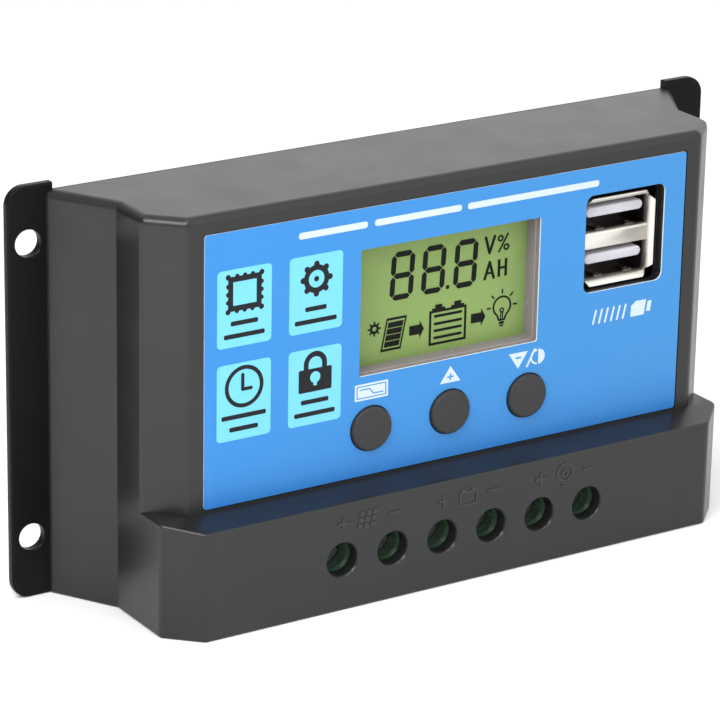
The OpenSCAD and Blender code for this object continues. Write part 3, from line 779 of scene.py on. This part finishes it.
def case_cutters():
    """Seat of the label and the holes for the window, buttons, sockets, tools and wires."""
    cuts = bmesh.new()
    near, through = face_y - CLEAR, face_y + WALL + CLEAR
    gap = 0.25 * MM
    seat_low, seat_high = label_low - Vector((gap, 0, gap)), label_high + Vector((gap, 0, gap))
    slab(cuts, (seat_low.x, near, seat_low.z), (seat_high.x, label_high.y, seat_high.z), 0.8 * MM)
    openings = bmesh.new()
    window = middle("display_bezel")
    half_w, half_h = 20 * MM, 12.65 * MM
    slab(
        openings,
        (window.x - half_w, near, window.z - half_h),
        (window.x + half_w, through, window.z + half_h),
        0.8 * MM,
    )
    usb_x, usb_z, usb_w, usb_h = 37.8 * MM, case_low.z + 57.6 * MM, 17.8 * MM, 18.7 * MM
    slab(
        openings,
        (usb_x - usb_w / 2, near, usb_z - usb_h / 2),
        (usb_x + usb_w / 2, through, usb_z + usb_h / 2),
        1.6 * MM,
    )
    key_hole = 4.35 * MM
    for key in KEYS:
        centre = middle(f"{key}_button")
        rod(openings, centre.x, centre.z, [(near, key_hole), (through, key_hole)], 64)
    driver = 3 * MM
    for i in POLES:
        screw = middle(f"terminal_screw_{i}")
        rim = [(front_y - 0.2 * MM, driver + 0.6 * MM), (front_y + 0.15 * MM, driver + 0.25 * MM)]
        rim += [(front_y + 0.5 * MM, driver), (front_y + TERMINAL_WALL + CLEAR, driver)]
        rod(openings, screw.x, screw.z, rim, 64)
        wire_y, slot_w, slot_l = mount(f"terminal_{i}")["pos_m"][1], 7.6 * MM, 5.8 * MM
        slab(
            openings,
            (screw.x - slot_w / 2, wire_y - slot_l / 2, case_low.z - CLEAR),
            (screw.x + slot_w / 2, wire_y + slot_l / 2, case_low.z + WALL + 0.2 * MM),
        )
    return [raw_mesh(cuts), raw_mesh(openings)]


def shaded(mesh, name, material):
    """A case piece whose large faces stay flat, with soft outer edges and sharp inner ones."""
    crease, inner_crease = math.radians(38), math.radians(8)
    mesh.polygons.foreach_set("use_smooth", [True] * len(mesh.polygons))
    mesh.set_sharp_from_angle(angle=crease)
    bm = bmesh.new()
    bm.from_mesh(mesh)
    for edge in bm.edges:
        if edge.calc_face_angle_signed(0) < -inner_crease:
            edge.smooth = False
    bm.to_mesh(mesh)
    bm.free()
    piece = place(name, mesh, material, CASE)
    piece.modifiers.new("normals", "WEIGHTED_NORMAL").keep_sharp = True
    return piece


def ears(c, material):
    """The two mounting ears, with a softened rim round each wall hole."""
    plates, holes = bmesh.new(), bmesh.new()
    for side in (-1, 1):
        ear(plates, c, side)
    size = mount("wall_holes")["dims"]
    radius, soft, past = size["hole_r_mm"] * MM, 0.4 * MM, 0.2 * MM
    rim = [(c["ear_front"] - past, radius + soft), (c["ear_front"] + past, radius)]
    rim += [(-past, radius), (past, radius + soft)]
    for x in (-size["spacing_x_mm"] / 2, size["spacing_x_mm"] / 2):
        for z in (-size["spacing_y_mm"] / 2, size["spacing_y_mm"] / 2):
            rod(holes, x * MM, z * MM, rim, 64)
    mesh = combine(raw_mesh(plates), [(raw_mesh(holes), "DIFFERENCE")])
    return shaded(mesh, "mounting_ears", material)


def case(material, shaded_ear_material):
    """The case in its CAD shape, with every outer edge rounded as the mould leaves it."""
    c = case_corners()
    base, parts = case_shell(c)
    bosses, pilots = bmesh.new(), bmesh.new()
    pilot, depth = 1.25 * MM, 7 * MM
    for x, z, tip, root, radius in boss_places():
        rod(bosses, x, z, [(root, radius), (tip, radius)])
        rod(pilots, x, z, [(tip - depth, pilot), (tip + 2 * CLEAR, pilot)], 24)
    tools = [(mesh, "UNION") for mesh in parts]
    tools += [(mesh, "DIFFERENCE") for mesh in case_hollow(c)]
    tools += [(raw_mesh(bosses), "UNION"), (raw_mesh(pilots), "DIFFERENCE")]
    tools += [(mesh, "DIFFERENCE") for mesh in case_cutters()]
    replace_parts(shaded(combine(base, tools), "case_moulding", material), "front_case")
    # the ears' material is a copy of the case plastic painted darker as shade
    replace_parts(ears(c, shaded_ear_material), "front_case")


def terminal_marks(material):
    """Raised signs above the terminals: plus and minus, and what each pair is for."""
    above = 7
    poles = [middle(f"terminal_screw_{i}") for i in POLES]
    drawing = Drawing(0, poles[0].z, front_y, 0.12 * MM)
    for i, pole in enumerate(poles):
        drawing.about(pole.x / MM, above)
        drawing.bar(-1.2, -0.25, 1.2, 0.25)
        if i % 2 == 0:
            drawing.bar(-0.25, 0.25, 0.25, 1.2)
            drawing.bar(-0.25, -1.2, 0.25, -0.25)
    panel, battery, bulb = ((poles[i].x + poles[i + 1].x) / 2 / MM for i in (0, 2, 4))
    drawing.about(panel, above)
    for row in range(3):
        for column in range(3):
            u = -1.9 + column * 1.35 - row * 0.25
            v = -1.7 + (2 - row) * 1.2
            drawing.bar(u, v, u + 1.05, v + 0.9)
    drawing.about(battery, above)
    drawing.ring(rounded_box(-2, -1.9, 2, 1.0, 0.3), rounded_box(-1.6, -1.5, 1.6, 0.6, 0.1))
    for u in (-1.1, 1.1):
        drawing.bar(u - 0.45, 1.0, u + 0.45, 1.5)
    drawing.about(bulb, above)
    drawing.ring(circle(0, 0.3, 1.85), circle(0, 0.3, 1.5))
    drawing.ring(circle(0, 0.1, 0.75), circle(0, 0.1, 0.45))
    for v in (-2.05, -2.65):
        drawing.bar(-0.7, v, 0.7, v + 0.4)
    drawing.piece("terminal_marks", material, "case_plastic")


# ---- label print

TILE_W = 10.9
TILE_H = 14.15
TILE_STEP_U = 14.5
TILE_STEP_V = 17.25
TILE_U = 2.5
TILE_V = 12.0
CAPTION_V = (4.3, 2.0)
CAPTION_H = 0.85


def tile_corner(column, row):
    """Lower left corner of a tile, from the label's own corner."""
    return TILE_U + column * TILE_STEP_U, TILE_V + row * TILE_STEP_V


def on_label(above, height):
    """A drawing from the label's lower left corner, above ink of a thickness in millimetres."""
    return Drawing(label_low.x, label_low.z, face_y - above * MM, height * MM)


def chip_icon(drawing):
    """A chip seen from above, with round pads on its edges."""
    half_w, half_h, line = 3.35, 3.15, 1.0
    inner_w, inner_h = half_w - line, half_h - line
    drawing.ring(
        rounded_box(-half_w, -half_h, half_w, half_h, 0.2),
        rounded_box(-inner_w, -inner_h, inner_w, inner_h, 0.05),
    )
    for su in (-1, 1):
        for sv in (-1, 1):
            drawing.disc(su * half_w, sv * half_h, 0.5)
    for step in (-1, 0, 1):
        for side in (-1, 1):
            drawing.disc(step * 1.55, side * half_h, 0.42)
            drawing.disc(side * half_w, step * 1.45, 0.42)


def gear_icon(drawing):
    """A gear with eight teeth and a hub."""
    drawing.ring(circle(0, 0, 2.6), circle(0, 0, 1.6))
    drawing.rays(2.3, 2.75, 1.1, range(0, 360, 45))
    drawing.disc(0, 0, 0.5)


def clock_icon(drawing):
    """A clock with two hands and no figures."""
    drawing.ring(circle(0, 0, 3.9), circle(0, 0, 3.15))
    drawing.path([(-0.3, 2.2), (-0.3, -0.5), (1.4, -0.5)], 0.65)


def padlock_icon(drawing):
    """A closed padlock, whose keyhole is drawn apart in the tile's colour."""
    drawing.bar(-3.4, -3.6, 3.4, 0.7, 0.3)
    outer = [(2.4, 0.6)] + arc(0, 1.5, 2.4, 0, 180, 16) + [(-2.4, 0.6)]
    inner = [(1.4, 0.6)] + arc(0, 1.5, 1.4, 0, 180, 16) + [(-1.4, 0.6)]
    drawing.plate(outer + list(reversed(inner)))


def tiles(tile_ink, dark_ink):
    """Four pale tiles, each with a picture and two bars in place of a caption."""
    tile, dark, hole = on_label(0, 0.03), on_label(0.03, 0.02), on_label(0.05, 0.01)
    captions = {(0, 1): (5.5, 8.2), (1, 1): (4.4, 8.6), (0, 0): (9.0, 5.8), (1, 0): (5.7, 8.4)}
    for spot, widths in captions.items():
        for drawing in (tile, dark):
            drawing.about(*tile_corner(*spot))
        tile.bar(0, 0, TILE_W, TILE_H, 0.8)
        for width, line in zip(widths, CAPTION_V):
            left, low = (TILE_W - width) / 2, line - CAPTION_H / 2
            dark.bar(left, low, left + width, low + CAPTION_H, 0.3)
    icon_u, icon_v = TILE_W / 2 + 0.05, 9.7
    icons = {(0, 1): chip_icon, (1, 1): gear_icon, (0, 0): clock_icon, (1, 0): padlock_icon}
    for spot, icon in icons.items():
        u, v = tile_corner(*spot)
        dark.about(u + icon_u, v + icon_v)
        icon(dark)
    hole.about(dark.u, dark.v)
    hole.disc(0, -0.95, 1.05)
    hole.bar(-0.35, -2.5, 0.35, -1.2)
    tile.piece("label_tiles", tile_ink, "label_film")
    dark.piece("label_icons", dark_ink, "label_film")
    hole.piece("label_keyhole", tile_ink, "label_film")


def white_print(white_ink, film):
    """Title bars, the marks above the buttons and the plug beside the sockets."""
    white, blue = on_label(0, 0.03), on_label(0, 0.045)
    title_v, title_half = 47.2, 0.6
    for start, end in ((18.8, 32.9), (34.4, 52.7), (54.0, 82.7)):
        white.bar(start, title_v - title_half, end, title_v + title_half, 0.5)

    def about_key(key):
        above = 7.1
        spot = (middle(f"{key}_button") - label_low) / MM
        for drawing in (white, blue):
            drawing.about(spot.x, spot.z + above)

    about_key("menu")
    white.ring(
        rounded_box(-3.5, -1.55, 3.5, 1.55, 0.2), rounded_box(-3.15, -1.2, 3.15, 1.2, 0.05)
    )
    white.bar(-2.9, -0.98, 2.9, 0.98, 0.1)
    blue.path([(-2.4, 0.5), (-0.4, 0.5), (0.4, -0.5), (2.4, -0.5)], 0.24)
    about_key("up")
    white.plate([(-2.2, -1.5), (0, 1.6), (2.2, -1.5)])
    blue.bar(-0.7, -0.6, 0.7, -0.28)
    blue.bar(-0.16, -1.1, 0.16, 0.25)
    about_key("down")
    white.plate([(-4.1, 1.5), (-2, -1.6), (0.1, 1.5)])
    blue.bar(-2.65, 0.35, -1.35, 0.67)
    white.path([(0, -1.5), (1.6, 1.5)], 0.4)
    white.plate(arc(2.45, 0, 1.45, -90, 90, 16))
    white.plate(arc(2.15, 0, 1.45, 90, 270, 16) + arc(2.15, 0, 1.1, 270, 90, 16))
    sockets = (middle("usb_shell") - label_low) / MM
    white.about(sockets.x + 1.6, 21.4)
    white.plate([(0, -1.4), (3.1, -1.4), (3.5, 1.5), (1.2, 1.5), (0.1, 0.7)])
    white.plate([(3.6, -0.9), (4.5, -0.9), (4.8, 1.1), (3.9, 1.1)])
    for step in range(6):
        base = -8.5 + step * 1.35
        white.path([(base, -1.3), (base + 0.6, 1.2)], 0.4)
    white.piece("label_marks", white_ink, "label_film")
    blue.piece("label_signs", film, "label_film")


# ---- display


def digit(drawing, width, height, line):
    """The figure eight, of seven bars with pointed ends, leaning a little to the right."""
    lean = math.tan(math.radians(3))
    gap = 0.12
    half = line / 2

    def bar(start, end):
        along = Vector((end[0] - start[0], end[1] - start[1])).normalized()
        start = Vector(start) + along * gap
        end = Vector(end) - along * gap
        across = Vector((-along.y, along.x)) * half
        inner = along * half
        shape = [
            start,
            start + inner - across,
            end - inner - across,
            end,
            end - inner + across,
            start + inner + across,
        ]
        drawing.plate([(p.x + p.y * lean, p.y) for p in shape])

    left, right = half, width - half
    levels = (half, height / 2, height - half)
    for level in levels:
        bar((left, level), (right, level))
    for low, high in zip(levels, levels[1:]):
        bar((left, low), (left, high))
        bar((right, low), (right, high))


def arrow(drawing):
    """A short thick arrow to the right."""
    drawing.bar(0, -0.9, 2.25, 0.9)
    drawing.plate([(2.2, -1.65), (3.15, 0), (2.2, 1.65)])


def unit_signs(drawing):
    """Volts, per cent, amperes and hours, which any meter shows beside its figures."""
    line, thin = 0.55, 0.35
    drawing.path([(9.95, 8.3), (10.85, 5.3), (11.9, 8.3)], line)
    drawing.path([(12.9, 5.2), (14.8, 8.4)], thin)
    for u, v in ((13.2, 7.7), (14.5, 5.9)):
        drawing.ring(circle(u, v, 0.65, 24), circle(u, v, 0.3, 24))
    drawing.path([(9.95, 0.45), (10.95, 3.5), (11.9, 0.45)], line)
    drawing.bar(10.4, 1.25, 11.5, 1.65)
    for u in (12.75, 14.25):
        drawing.bar(u, 0.4, u + line, 3.7)
    drawing.bar(13.2, 1.85, 14.4, 2.3)


def display_segments(material):
    """What the display shows: figures, and power going from a panel to a battery to a lamp."""
    window = middle("display_bezel")
    drawing = Drawing(window.x, window.z, glass_low.y, 0.05 * MM)
    for u in (-10.6, -3.9, 3.0):
        drawing.about(u, -0.35)
        digit(drawing, 4.95, 9.05, 1.02)
    drawing.about(0, 0)
    drawing.bar(1.55, -0.05, 2.25, 0.65, 0.15)
    unit_signs(drawing)
    drawing.about(-13.6, -5.0)
    drawing.ring(circle(0, 0, 0.95), circle(0, 0, 0.45))
    drawing.rays(0.9, 1.3, 0.3, range(0, 360, 45))
    drawing.about(-12.25, -9.65)
    foot, rise, lean = 4.3, 6.15, 1.25

    def patch(s0, t0, s1, t1):
        """A part of the slanted panel, s along its foot and t up its side."""
        return [(s * foot + t * lean, t * rise) for s, t in rounded_box(s0, t0, s1, t1)]

    edge, columns, rows = 0.07, 3, 4
    drawing.ring(patch(0, 0, 1, 1), patch(edge, edge, 1 - edge, 1 - edge))
    for i in range(columns):
        for j in range(rows):
            s0, t0 = 0.13 + i * 0.755 / columns, 0.12 + j * 0.775 / rows
            drawing.plate(patch(s0, t0, s0 + 0.72 / columns, t0 + 0.66 / rows))
    for u in (-6.15, 7.2):
        drawing.about(u, -6.7)
        arrow(drawing)
    drawing.about(0, 0)
    drawing.ring(
        rounded_box(-1.9, -10.3, 6.15, -3.7, 0.1), rounded_box(-1.45, -9.85, 5.7, -4.15, 0.05)
    )
    for u in (0.1, 4.2):
        drawing.bar(u - 1.4, -3.75, u + 1.4, -3.3)
        drawing.bar(u - 0.75, -3.3, u + 0.75, -2.65)
    for v in (-4.85, -6.3, -7.6, -8.95):
        drawing.bar(-0.85, v - 0.25, 5.2, v + 0.25, 0.15)
    drawing.about(13.95, -5.4)
    outer, inner = arc(0, 0, 2.05, -62, 242, 30), arc(0, 0, 1.7, -58, 238, 30)
    drawing.plate(outer + list(reversed(inner)))
    drawing.path([(0.93, -1.8), (0.6, -2.6), (-0.6, -2.6), (-0.93, -1.8)], 0.35)
    drawing.bar(-0.55, -3.4, 0.55, -2.95, 0.1)
    drawing.bar(-0.4, -3.85, 0.4, -3.55, 0.1)
    drawing.ring(circle(0, -0.75, 0.5, 24), circle(0, -0.75, 0.25, 24))
    for u in (-0.2, 0.2):
        drawing.path([(u, -2.4), (u, -1.2)], 0.22)
    drawing.rays(2.55, 3.2, 0.3, (0, 45, 90, 135, 180))
    drawing.piece("display_segments", material, "lcd_green")


def bezel(material):
    """Frame round the window: a straight mouth, a small rounded step and a flange behind."""
    window = middle("display_bezel")
    mouth_w = 38.4 * MM
    mouth_h = 23.7 * MM
    step = 0.25 * MM
    step_y = face_y + 1.3 * MM
    lip = (bezel_high.z - bezel_low.z - mouth_h) / 2
    side_lip = (bezel_high.x - bezel_low.x - mouth_w) / 2
    skin = 0.7 * MM
    flange_y = bezel_high.y - 1.2 * MM

    def loop(out_x, out_z, y, radius):
        half_w, half_h = mouth_w / 2 + out_x, mouth_h / 2 + out_z
        outline = rounded_box(-half_w, -half_h, half_w, half_h, radius, 4)
        return upright(outline, y, window.x, window.z)

    bm = bmesh.new()
    sections = [(0.02 * MM, bezel_low.y), (skin, bezel_low.y), (skin, flange_y)]
    loops = [loop(out, out, y, 0.4 * MM) for out, y in sections]
    loops.append(loop(side_lip, lip, flange_y, 0.7 * MM))
    loops.append(loop(side_lip, lip, bezel_high.y, 0.7 * MM))
    loops.append(loop(-step, -step, bezel_high.y, 0.3 * MM))
    for i in range(5):
        angle = math.radians(22.5 * i)
        out = -step + step * (1 - math.cos(angle))
        loops.append(loop(out, out, step_y + step * (1 - math.sin(angle)), 0.3 * MM))
    loft(bm, loops, closed=True)
    piece = place("window_frame", mesh_of(bm, "window_frame", 50), material, CASE)
    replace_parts(piece, "display_bezel")


# ---- buttons


def button(name, material):
    """A round cap with a rounded rim and a faint dish, and the flange that holds it in."""
    low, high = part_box(f"{name}_button")
    stem_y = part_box(f"{name}_stem")[0].y
    centre = (low + high) / 2
    radius = 4.15 * MM
    rim = 0.45 * MM
    flange = (high.x - low.x) / 2
    flange_front = face_y + 2.3 * MM
    flange_rear = flange_front + MM
    skirt = 2.75 * MM
    socket = 1.65 * MM
    profile = [(0, low.y + 0.12 * MM), (radius * 0.45, low.y + 0.08 * MM)]
    profile += [(radius * 0.75, low.y + 0.02 * MM)]
    for i in range(6):
        angle = math.radians(18 * i)
        profile.append(
            (radius - rim + rim * math.sin(angle), low.y + rim - rim * math.cos(angle))
        )
    profile += [(radius, flange_front), (flange, flange_front), (flange, flange_rear)]
    profile += [(skirt, flange_rear), (skirt, high.y), (socket, high.y)]
    profile += [(socket, stem_y), (0, stem_y)]
    count = 72
    bm = bmesh.new()
    rows = []
    for r, y in profile:
        if r == 0:
            rows.append([bm.verts.new((centre.x, y, centre.z))] * count)
        else:
            turn = circle(centre.x, centre.z, r, count)
            rows.append([bm.verts.new((x, y, z)) for x, z in turn])
    for near, far in zip(rows, rows[1:]):
        for i in range(count):
            j = (i + 1) % count
            corners = dict.fromkeys((near[i], near[j], far[j], far[i]))
            bm.faces.new(list(corners))
    mesh = mesh_of(bm, f"{name}_cap")
    piece = place(f"{name}_cap", mesh, material, f"{name}_key")
    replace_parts(piece, f"{name}_button")


# ---- USB sockets

SHEET = 0.4 * MM
PORT_PITCH = 9 * MM
PORT_H = 5.7 * MM
TONGUE_W = 11.1 * MM
TONGUE_T = 1.84 * MM
TONGUE_RISE = 0.95 * MM
SPRING_X = 3.35 * MM
SIDE_ROOM = 1.2 * MM
TONGUE_REACH = 1.6 * MM


def flared_lip(bm, origin, along, out, side, half_length, room):
    """A lip that curls outwards from the mouth of the shell. Its corners are cut off."""
    reach, forward = room
    steps, whole_steps, corner_cut, curl = 7, 3, 0.16 * MM, math.radians(78)
    sections = []
    for i in range(steps + 1):
        angle = curl * i / steps
        rise = reach * (1 - math.cos(angle)) / (1 - math.cos(curl))
        ahead = (forward - SHEET * math.sin(curl)) * math.sin(angle) / math.sin(curl)
        half = half_length - max(0, i - whole_steps) * corner_cut
        outer = out * (side + rise) + Vector((0, -ahead, 0))
        inner = outer - out * SHEET * math.cos(angle) - Vector((0, SHEET * math.sin(angle), 0))
        corners = ((outer, -1), (outer, 1), (inner, 1), (inner, -1))
        sections.append([origin + edge + along * half * end for edge, end in corners])
    loft(bm, sections)


def spring_finger(bm, x, floor_z, mouth_y):
    """A leaf spring pressed out of the shell, with a round contact dimple at its crest."""
    half, thick = 0.95 * MM, 0.25 * MM
    shape = [(5.3, 0.0), (4.3, 0.06), (3.2, 0.2), (2.2, 0.36), (1.7, 0.38), (1.2, 0.3), (0.9, 0.15)]
    sections = []
    for ahead, rise in shape:
        y, z = mouth_y + ahead * MM, floor_z + rise * MM
        corners = ((-half, z), (half, z), (half, z - thick), (-half, z - thick))
        sections.append([(x + dx, y, level) for dx, level in corners])
    loft(bm, sections)
    crest_y, crest_z, radius = mouth_y + 1.7 * MM, floor_z + 0.34 * MM, 0.5 * MM
    rings = []
    for degrees in (0, 20, 40, 60, 78):
        angle = math.radians(degrees)
        r, z = radius * math.cos(angle), crest_z + 0.5 * radius * math.sin(angle)
        rings.append([(x + u, crest_y + v, z) for u, v in circle(0, 0, r, 16)])
    loft(bm, rings)


def usb_shell(material):
    """Rolled sheet-metal shell: three flared lips, a plain left side, a divider, spring fingers."""
    low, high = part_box("usb_shell")
    core_low, core_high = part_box("usb_core")
    centre = (low + high) / 2
    half_w = (core_high.x - core_low.x) / 2 + SHEET
    half_h = (core_high.z - core_low.z) / 2 + SHEET
    mouth_y = core_low.y
    corner = 0.8 * MM
    bm = bmesh.new()

    left = -half_w - SIDE_ROOM

    def loop(inset, y):
        low_u, high_u, high_v = left + inset, half_w - inset, half_h - inset
        outline = rounded_box(low_u, -high_v, high_u, high_v, corner - inset)
        return upright(outline, y, centre.x, centre.z)

    tube = [loop(0, mouth_y), loop(0, high.y), loop(SHEET, high.y), loop(SHEET, mouth_y)]
    loft(bm, tube, closed=True)
    room = ((high.x - low.x) / 2 - half_w, mouth_y - low.y)
    origin = Vector((centre.x, mouth_y, centre.z))
    right, up = Vector((1, 0, 0)), Vector((0, 0, 1))
    flared_lip(bm, origin, up, right, half_w, half_h - corner, room)
    long_half = half_w - corner + SIDE_ROOM / 2
    for side in (1, -1):
        flared_lip(bm, origin - right * SIDE_ROOM / 2, right, up * side, half_h, long_half, room)
    divider = (PORT_PITCH - PORT_H) / 2
    sections = []
    for inset, ahead in ((0.35, -0.3), (0.12, -0.18), (0.0, 0.1), (0.0, 8.0)):
        half = divider - inset * MM
        outline = rounded_box(left + SHEET, -half, half_w - SHEET, half, 0.1 * MM)
        sections.append(upright(outline, mouth_y + ahead * MM, centre.x, centre.z))
    loft(bm, sections)
    for port in (-1, 1):
        floor_z = centre.z + port * PORT_PITCH / 2 - PORT_H / 2
        for side in (-1, 1):
            spring_finger(bm, centre.x + side * SPRING_X, floor_z, mouth_y)
    piece = place("socket_shell", mesh_of(bm, "socket_shell", 50), material, CASE)
    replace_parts(piece, "usb_shell")


def usb_core(material):
    """White insert: a rear block and in each port a tongue with round ends."""
    low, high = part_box("usb_core")
    centre = (low + high) / 2
    half_w, half_h = (high.x - low.x) / 2, (high.z - low.z) / 2
    block_y = low.y + 8.3 * MM
    bm = bmesh.new()
    outline = rounded_box(-half_w - SIDE_ROOM, -half_h, half_w, half_h, 0.4 * MM)
    loft(bm, [upright(outline, y, centre.x, centre.z) for y in (block_y, high.y)])
    for port in (-1, 1):
        z = centre.z + port * PORT_PITCH / 2 + TONGUE_RISE
        sections = [(0.2, 0.0), (0.06, 0.06), (0.0, 0.2)]
        loops = []
        for inset, ahead in sections + [(0.0, 8.5)]:
            half, thick = TONGUE_W / 2 - inset * MM, TONGUE_T / 2 - inset * MM
            shape = rounded_box(-half - TONGUE_REACH, -thick, half, thick, thick * 0.96)
            loops.append(upright(shape, low.y + ahead * MM, centre.x, z))
        loft(bm, loops)
    piece = place("socket_insert", mesh_of(bm, "socket_insert", 50), material, CASE)
    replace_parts(piece, "usb_core")


# ---- CAD nodes that stay


def slot_materials():
    """A material for each of the record's material slots."""
    grain_x = (0.02, 1, 1)
    return {
        "case_plastic": case_plastic(),
        "label_film": label_film(),
        "plate_metal": metal("plate_metal", (0.56, 0.57, 0.58), 0.36, 0.3, grain_x),
        "screw_steel": metal("screw_steel", (0.5, 0.5, 0.52), 0.3, 1.2, relief=0.001),
        "board_laminate": board_laminate(),
        "bezel_plastic": bezel_plastic(),
        "lcd_green": lcd_green(),
        "backlight_plastic": moulding("backlight_plastic", (0.8, 0.82, 0.75), 0.4),
        "tin": metal("tin", (0.74, 0.73, 0.7), 0.32),
        "usb_metal": usb_metal(),
        "usb_insert": moulding("usb_insert", (0.62, 0.61, 0.66), 0.4),
        "contact_gold": metal("contact_gold", (0.88, 0.66, 0.3), 0.22),
        "switch_black": moulding("switch_black", (0.02, 0.02, 0.02), 0.5),
        "button_plastic": button_plastic(),
        "terminal_green": moulding("terminal_green", (0.035, 0.105, 0.05), 0.38, 0.25, 0.006),
        "bar_copper": metal("bar_copper", (0.72, 0.48, 0.34), 0.35, 0.3, grain_x),
        "clamp_steel": metal("clamp_steel", (0.62, 0.6, 0.5), 0.36),
        "epoxy_black": moulding("epoxy_black", (0.016, 0.016, 0.017), 0.46, 0.15, 0.008),
        "tab_metal": metal("tab_metal", (0.68, 0.68, 0.68), 0.3),
        "pad_silicone": moulding("pad_silicone", (0.36, 0.4, 0.45), 0.65, 0.2),
        "can_sleeve": moulding("can_sleeve", (0.02, 0.025, 0.09), 0.28),
        "ferrite": moulding("ferrite", (0.045, 0.045, 0.05), 0.6, 0.2, 0.012),
        "winding_copper": winding_copper(),
    }


def usb_metal():
    """Warm nickel plate, bright at the mouth and painted dull and dark further in, as painted shade
    inside the socket.
    """
    s = Shader("usb_metal", (0.8, 0.77, 0.71), 0.34, Metallic=1.0)
    mouth_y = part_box("usb_core")[0].y
    # painted shade: this ramp along Y darkens the metal behind the mouth to stand in for the shade
    # inside the socket
    depth = s.between(s.axis(s.place, "Y"), 0, 1, mouth_y + 0.1 * MM, mouth_y + 1.2 * MM)
    grain = s.noise(0.5 * MM, 4, s.stretched((1, 0.04, 1)))
    bright = s.mix(grain, (0.74, 0.71, 0.65), (0.82, 0.79, 0.74))
    s.colour(s.mix(depth, bright, (0.07, 0.055, 0.05)))
    s.rough(s.between(grain, 0.38, 0.5))
    s.bump((grain, 0.002 * MM))
    return s.material


def board_laminate():
    """Green solder mask with the copper showing through in cells and islands."""
    s = Shader("board_laminate", (0.01, 0.11, 0.03), 0.3)
    copper = s.between(s.cells(4 * MM, "DISTANCE_TO_EDGE"), 0, 1, 0.03, 0.05)
    s.colour(s.mix(copper, (0.006, 0.07, 0.02), (0.016, 0.16, 0.045)))
    s.bump((copper, 0.03 * MM), (s.noise(0.4 * MM, 3), 0.004 * MM))
    return s.material


def winding_copper():
    """Enamelled copper wire in even turns."""
    s = Shader("winding_copper", (0.6, 0.26, 0.1), 0.28, Metallic=1.0)
    turns = s.node("ShaderNodeTexWave", wave_type="RINGS", rings_direction="Z")
    turns.inputs["Scale"].default_value = 1 / (4 * MM)
    turns.inputs["Distortion"].default_value = 0.4
    s.link(s.place, turns.inputs["Vector"])
    s.colour(s.mix(turns.outputs["Fac"], (0.36, 0.13, 0.05), (0.7, 0.34, 0.14)))
    s.bump((turns.outputs["Fac"], 0.12 * MM))
    return s.material


def dress_nodes(materials):
    """Gives every CAD node its slot's material and takes the sharpness off simple metal parts."""
    softened = {"clamp_steel": 0.2, "bar_copper": 0.15, "tab_metal": 0.1, "can_sleeve": 0.4}
    for part in frame["record"]["subparts"]:
        node, slot = frame["nodes"][part["node"]], part["material_slot"]
        node.data.materials.clear()
        node.data.materials.append(materials[slot])
        if slot in softened:
            node.modifiers.new("weld", "WELD")
            bevel = node.modifiers.new("edges", "BEVEL")
            bevel.width = softened[slot] * MM
            bevel.segments = 2
            bevel.limit_method = "ANGLE"
            bevel.angle_limit = math.radians(40)


# ---- assembly

studio()
materials = slot_materials()
dress_nodes(materials)
# painted shade: the ears get a darker, less glossy copy of the case plastic to stand in for the
# dark flank mirrored in them
case(materials["case_plastic"], case_plastic("ear_plastic_painted_darker", (0.005, 0.005, 0.0052), 0.1))
# painted highlight: the raised marks are the case's own plastic, painted lighter to stand in for
# the light they catch
terminal_marks(case_plastic("raised_marks_painted_lighter", (0.022, 0.022, 0.023)))
tiles(ink("tile_ink", (0.17, 0.57, 0.74)), ink("dark_ink", (0.009, 0.009, 0.012), 0.45))
white_print(ink("white_ink", (0.56, 0.66, 0.75)), materials["label_film"])
display_segments(lcd_black())
bezel(materials["bezel_plastic"])
for key in KEYS:
    button(key, materials["button_plastic"])
usb_shell(materials["usb_metal"])
usb_core(materials["usb_insert"])
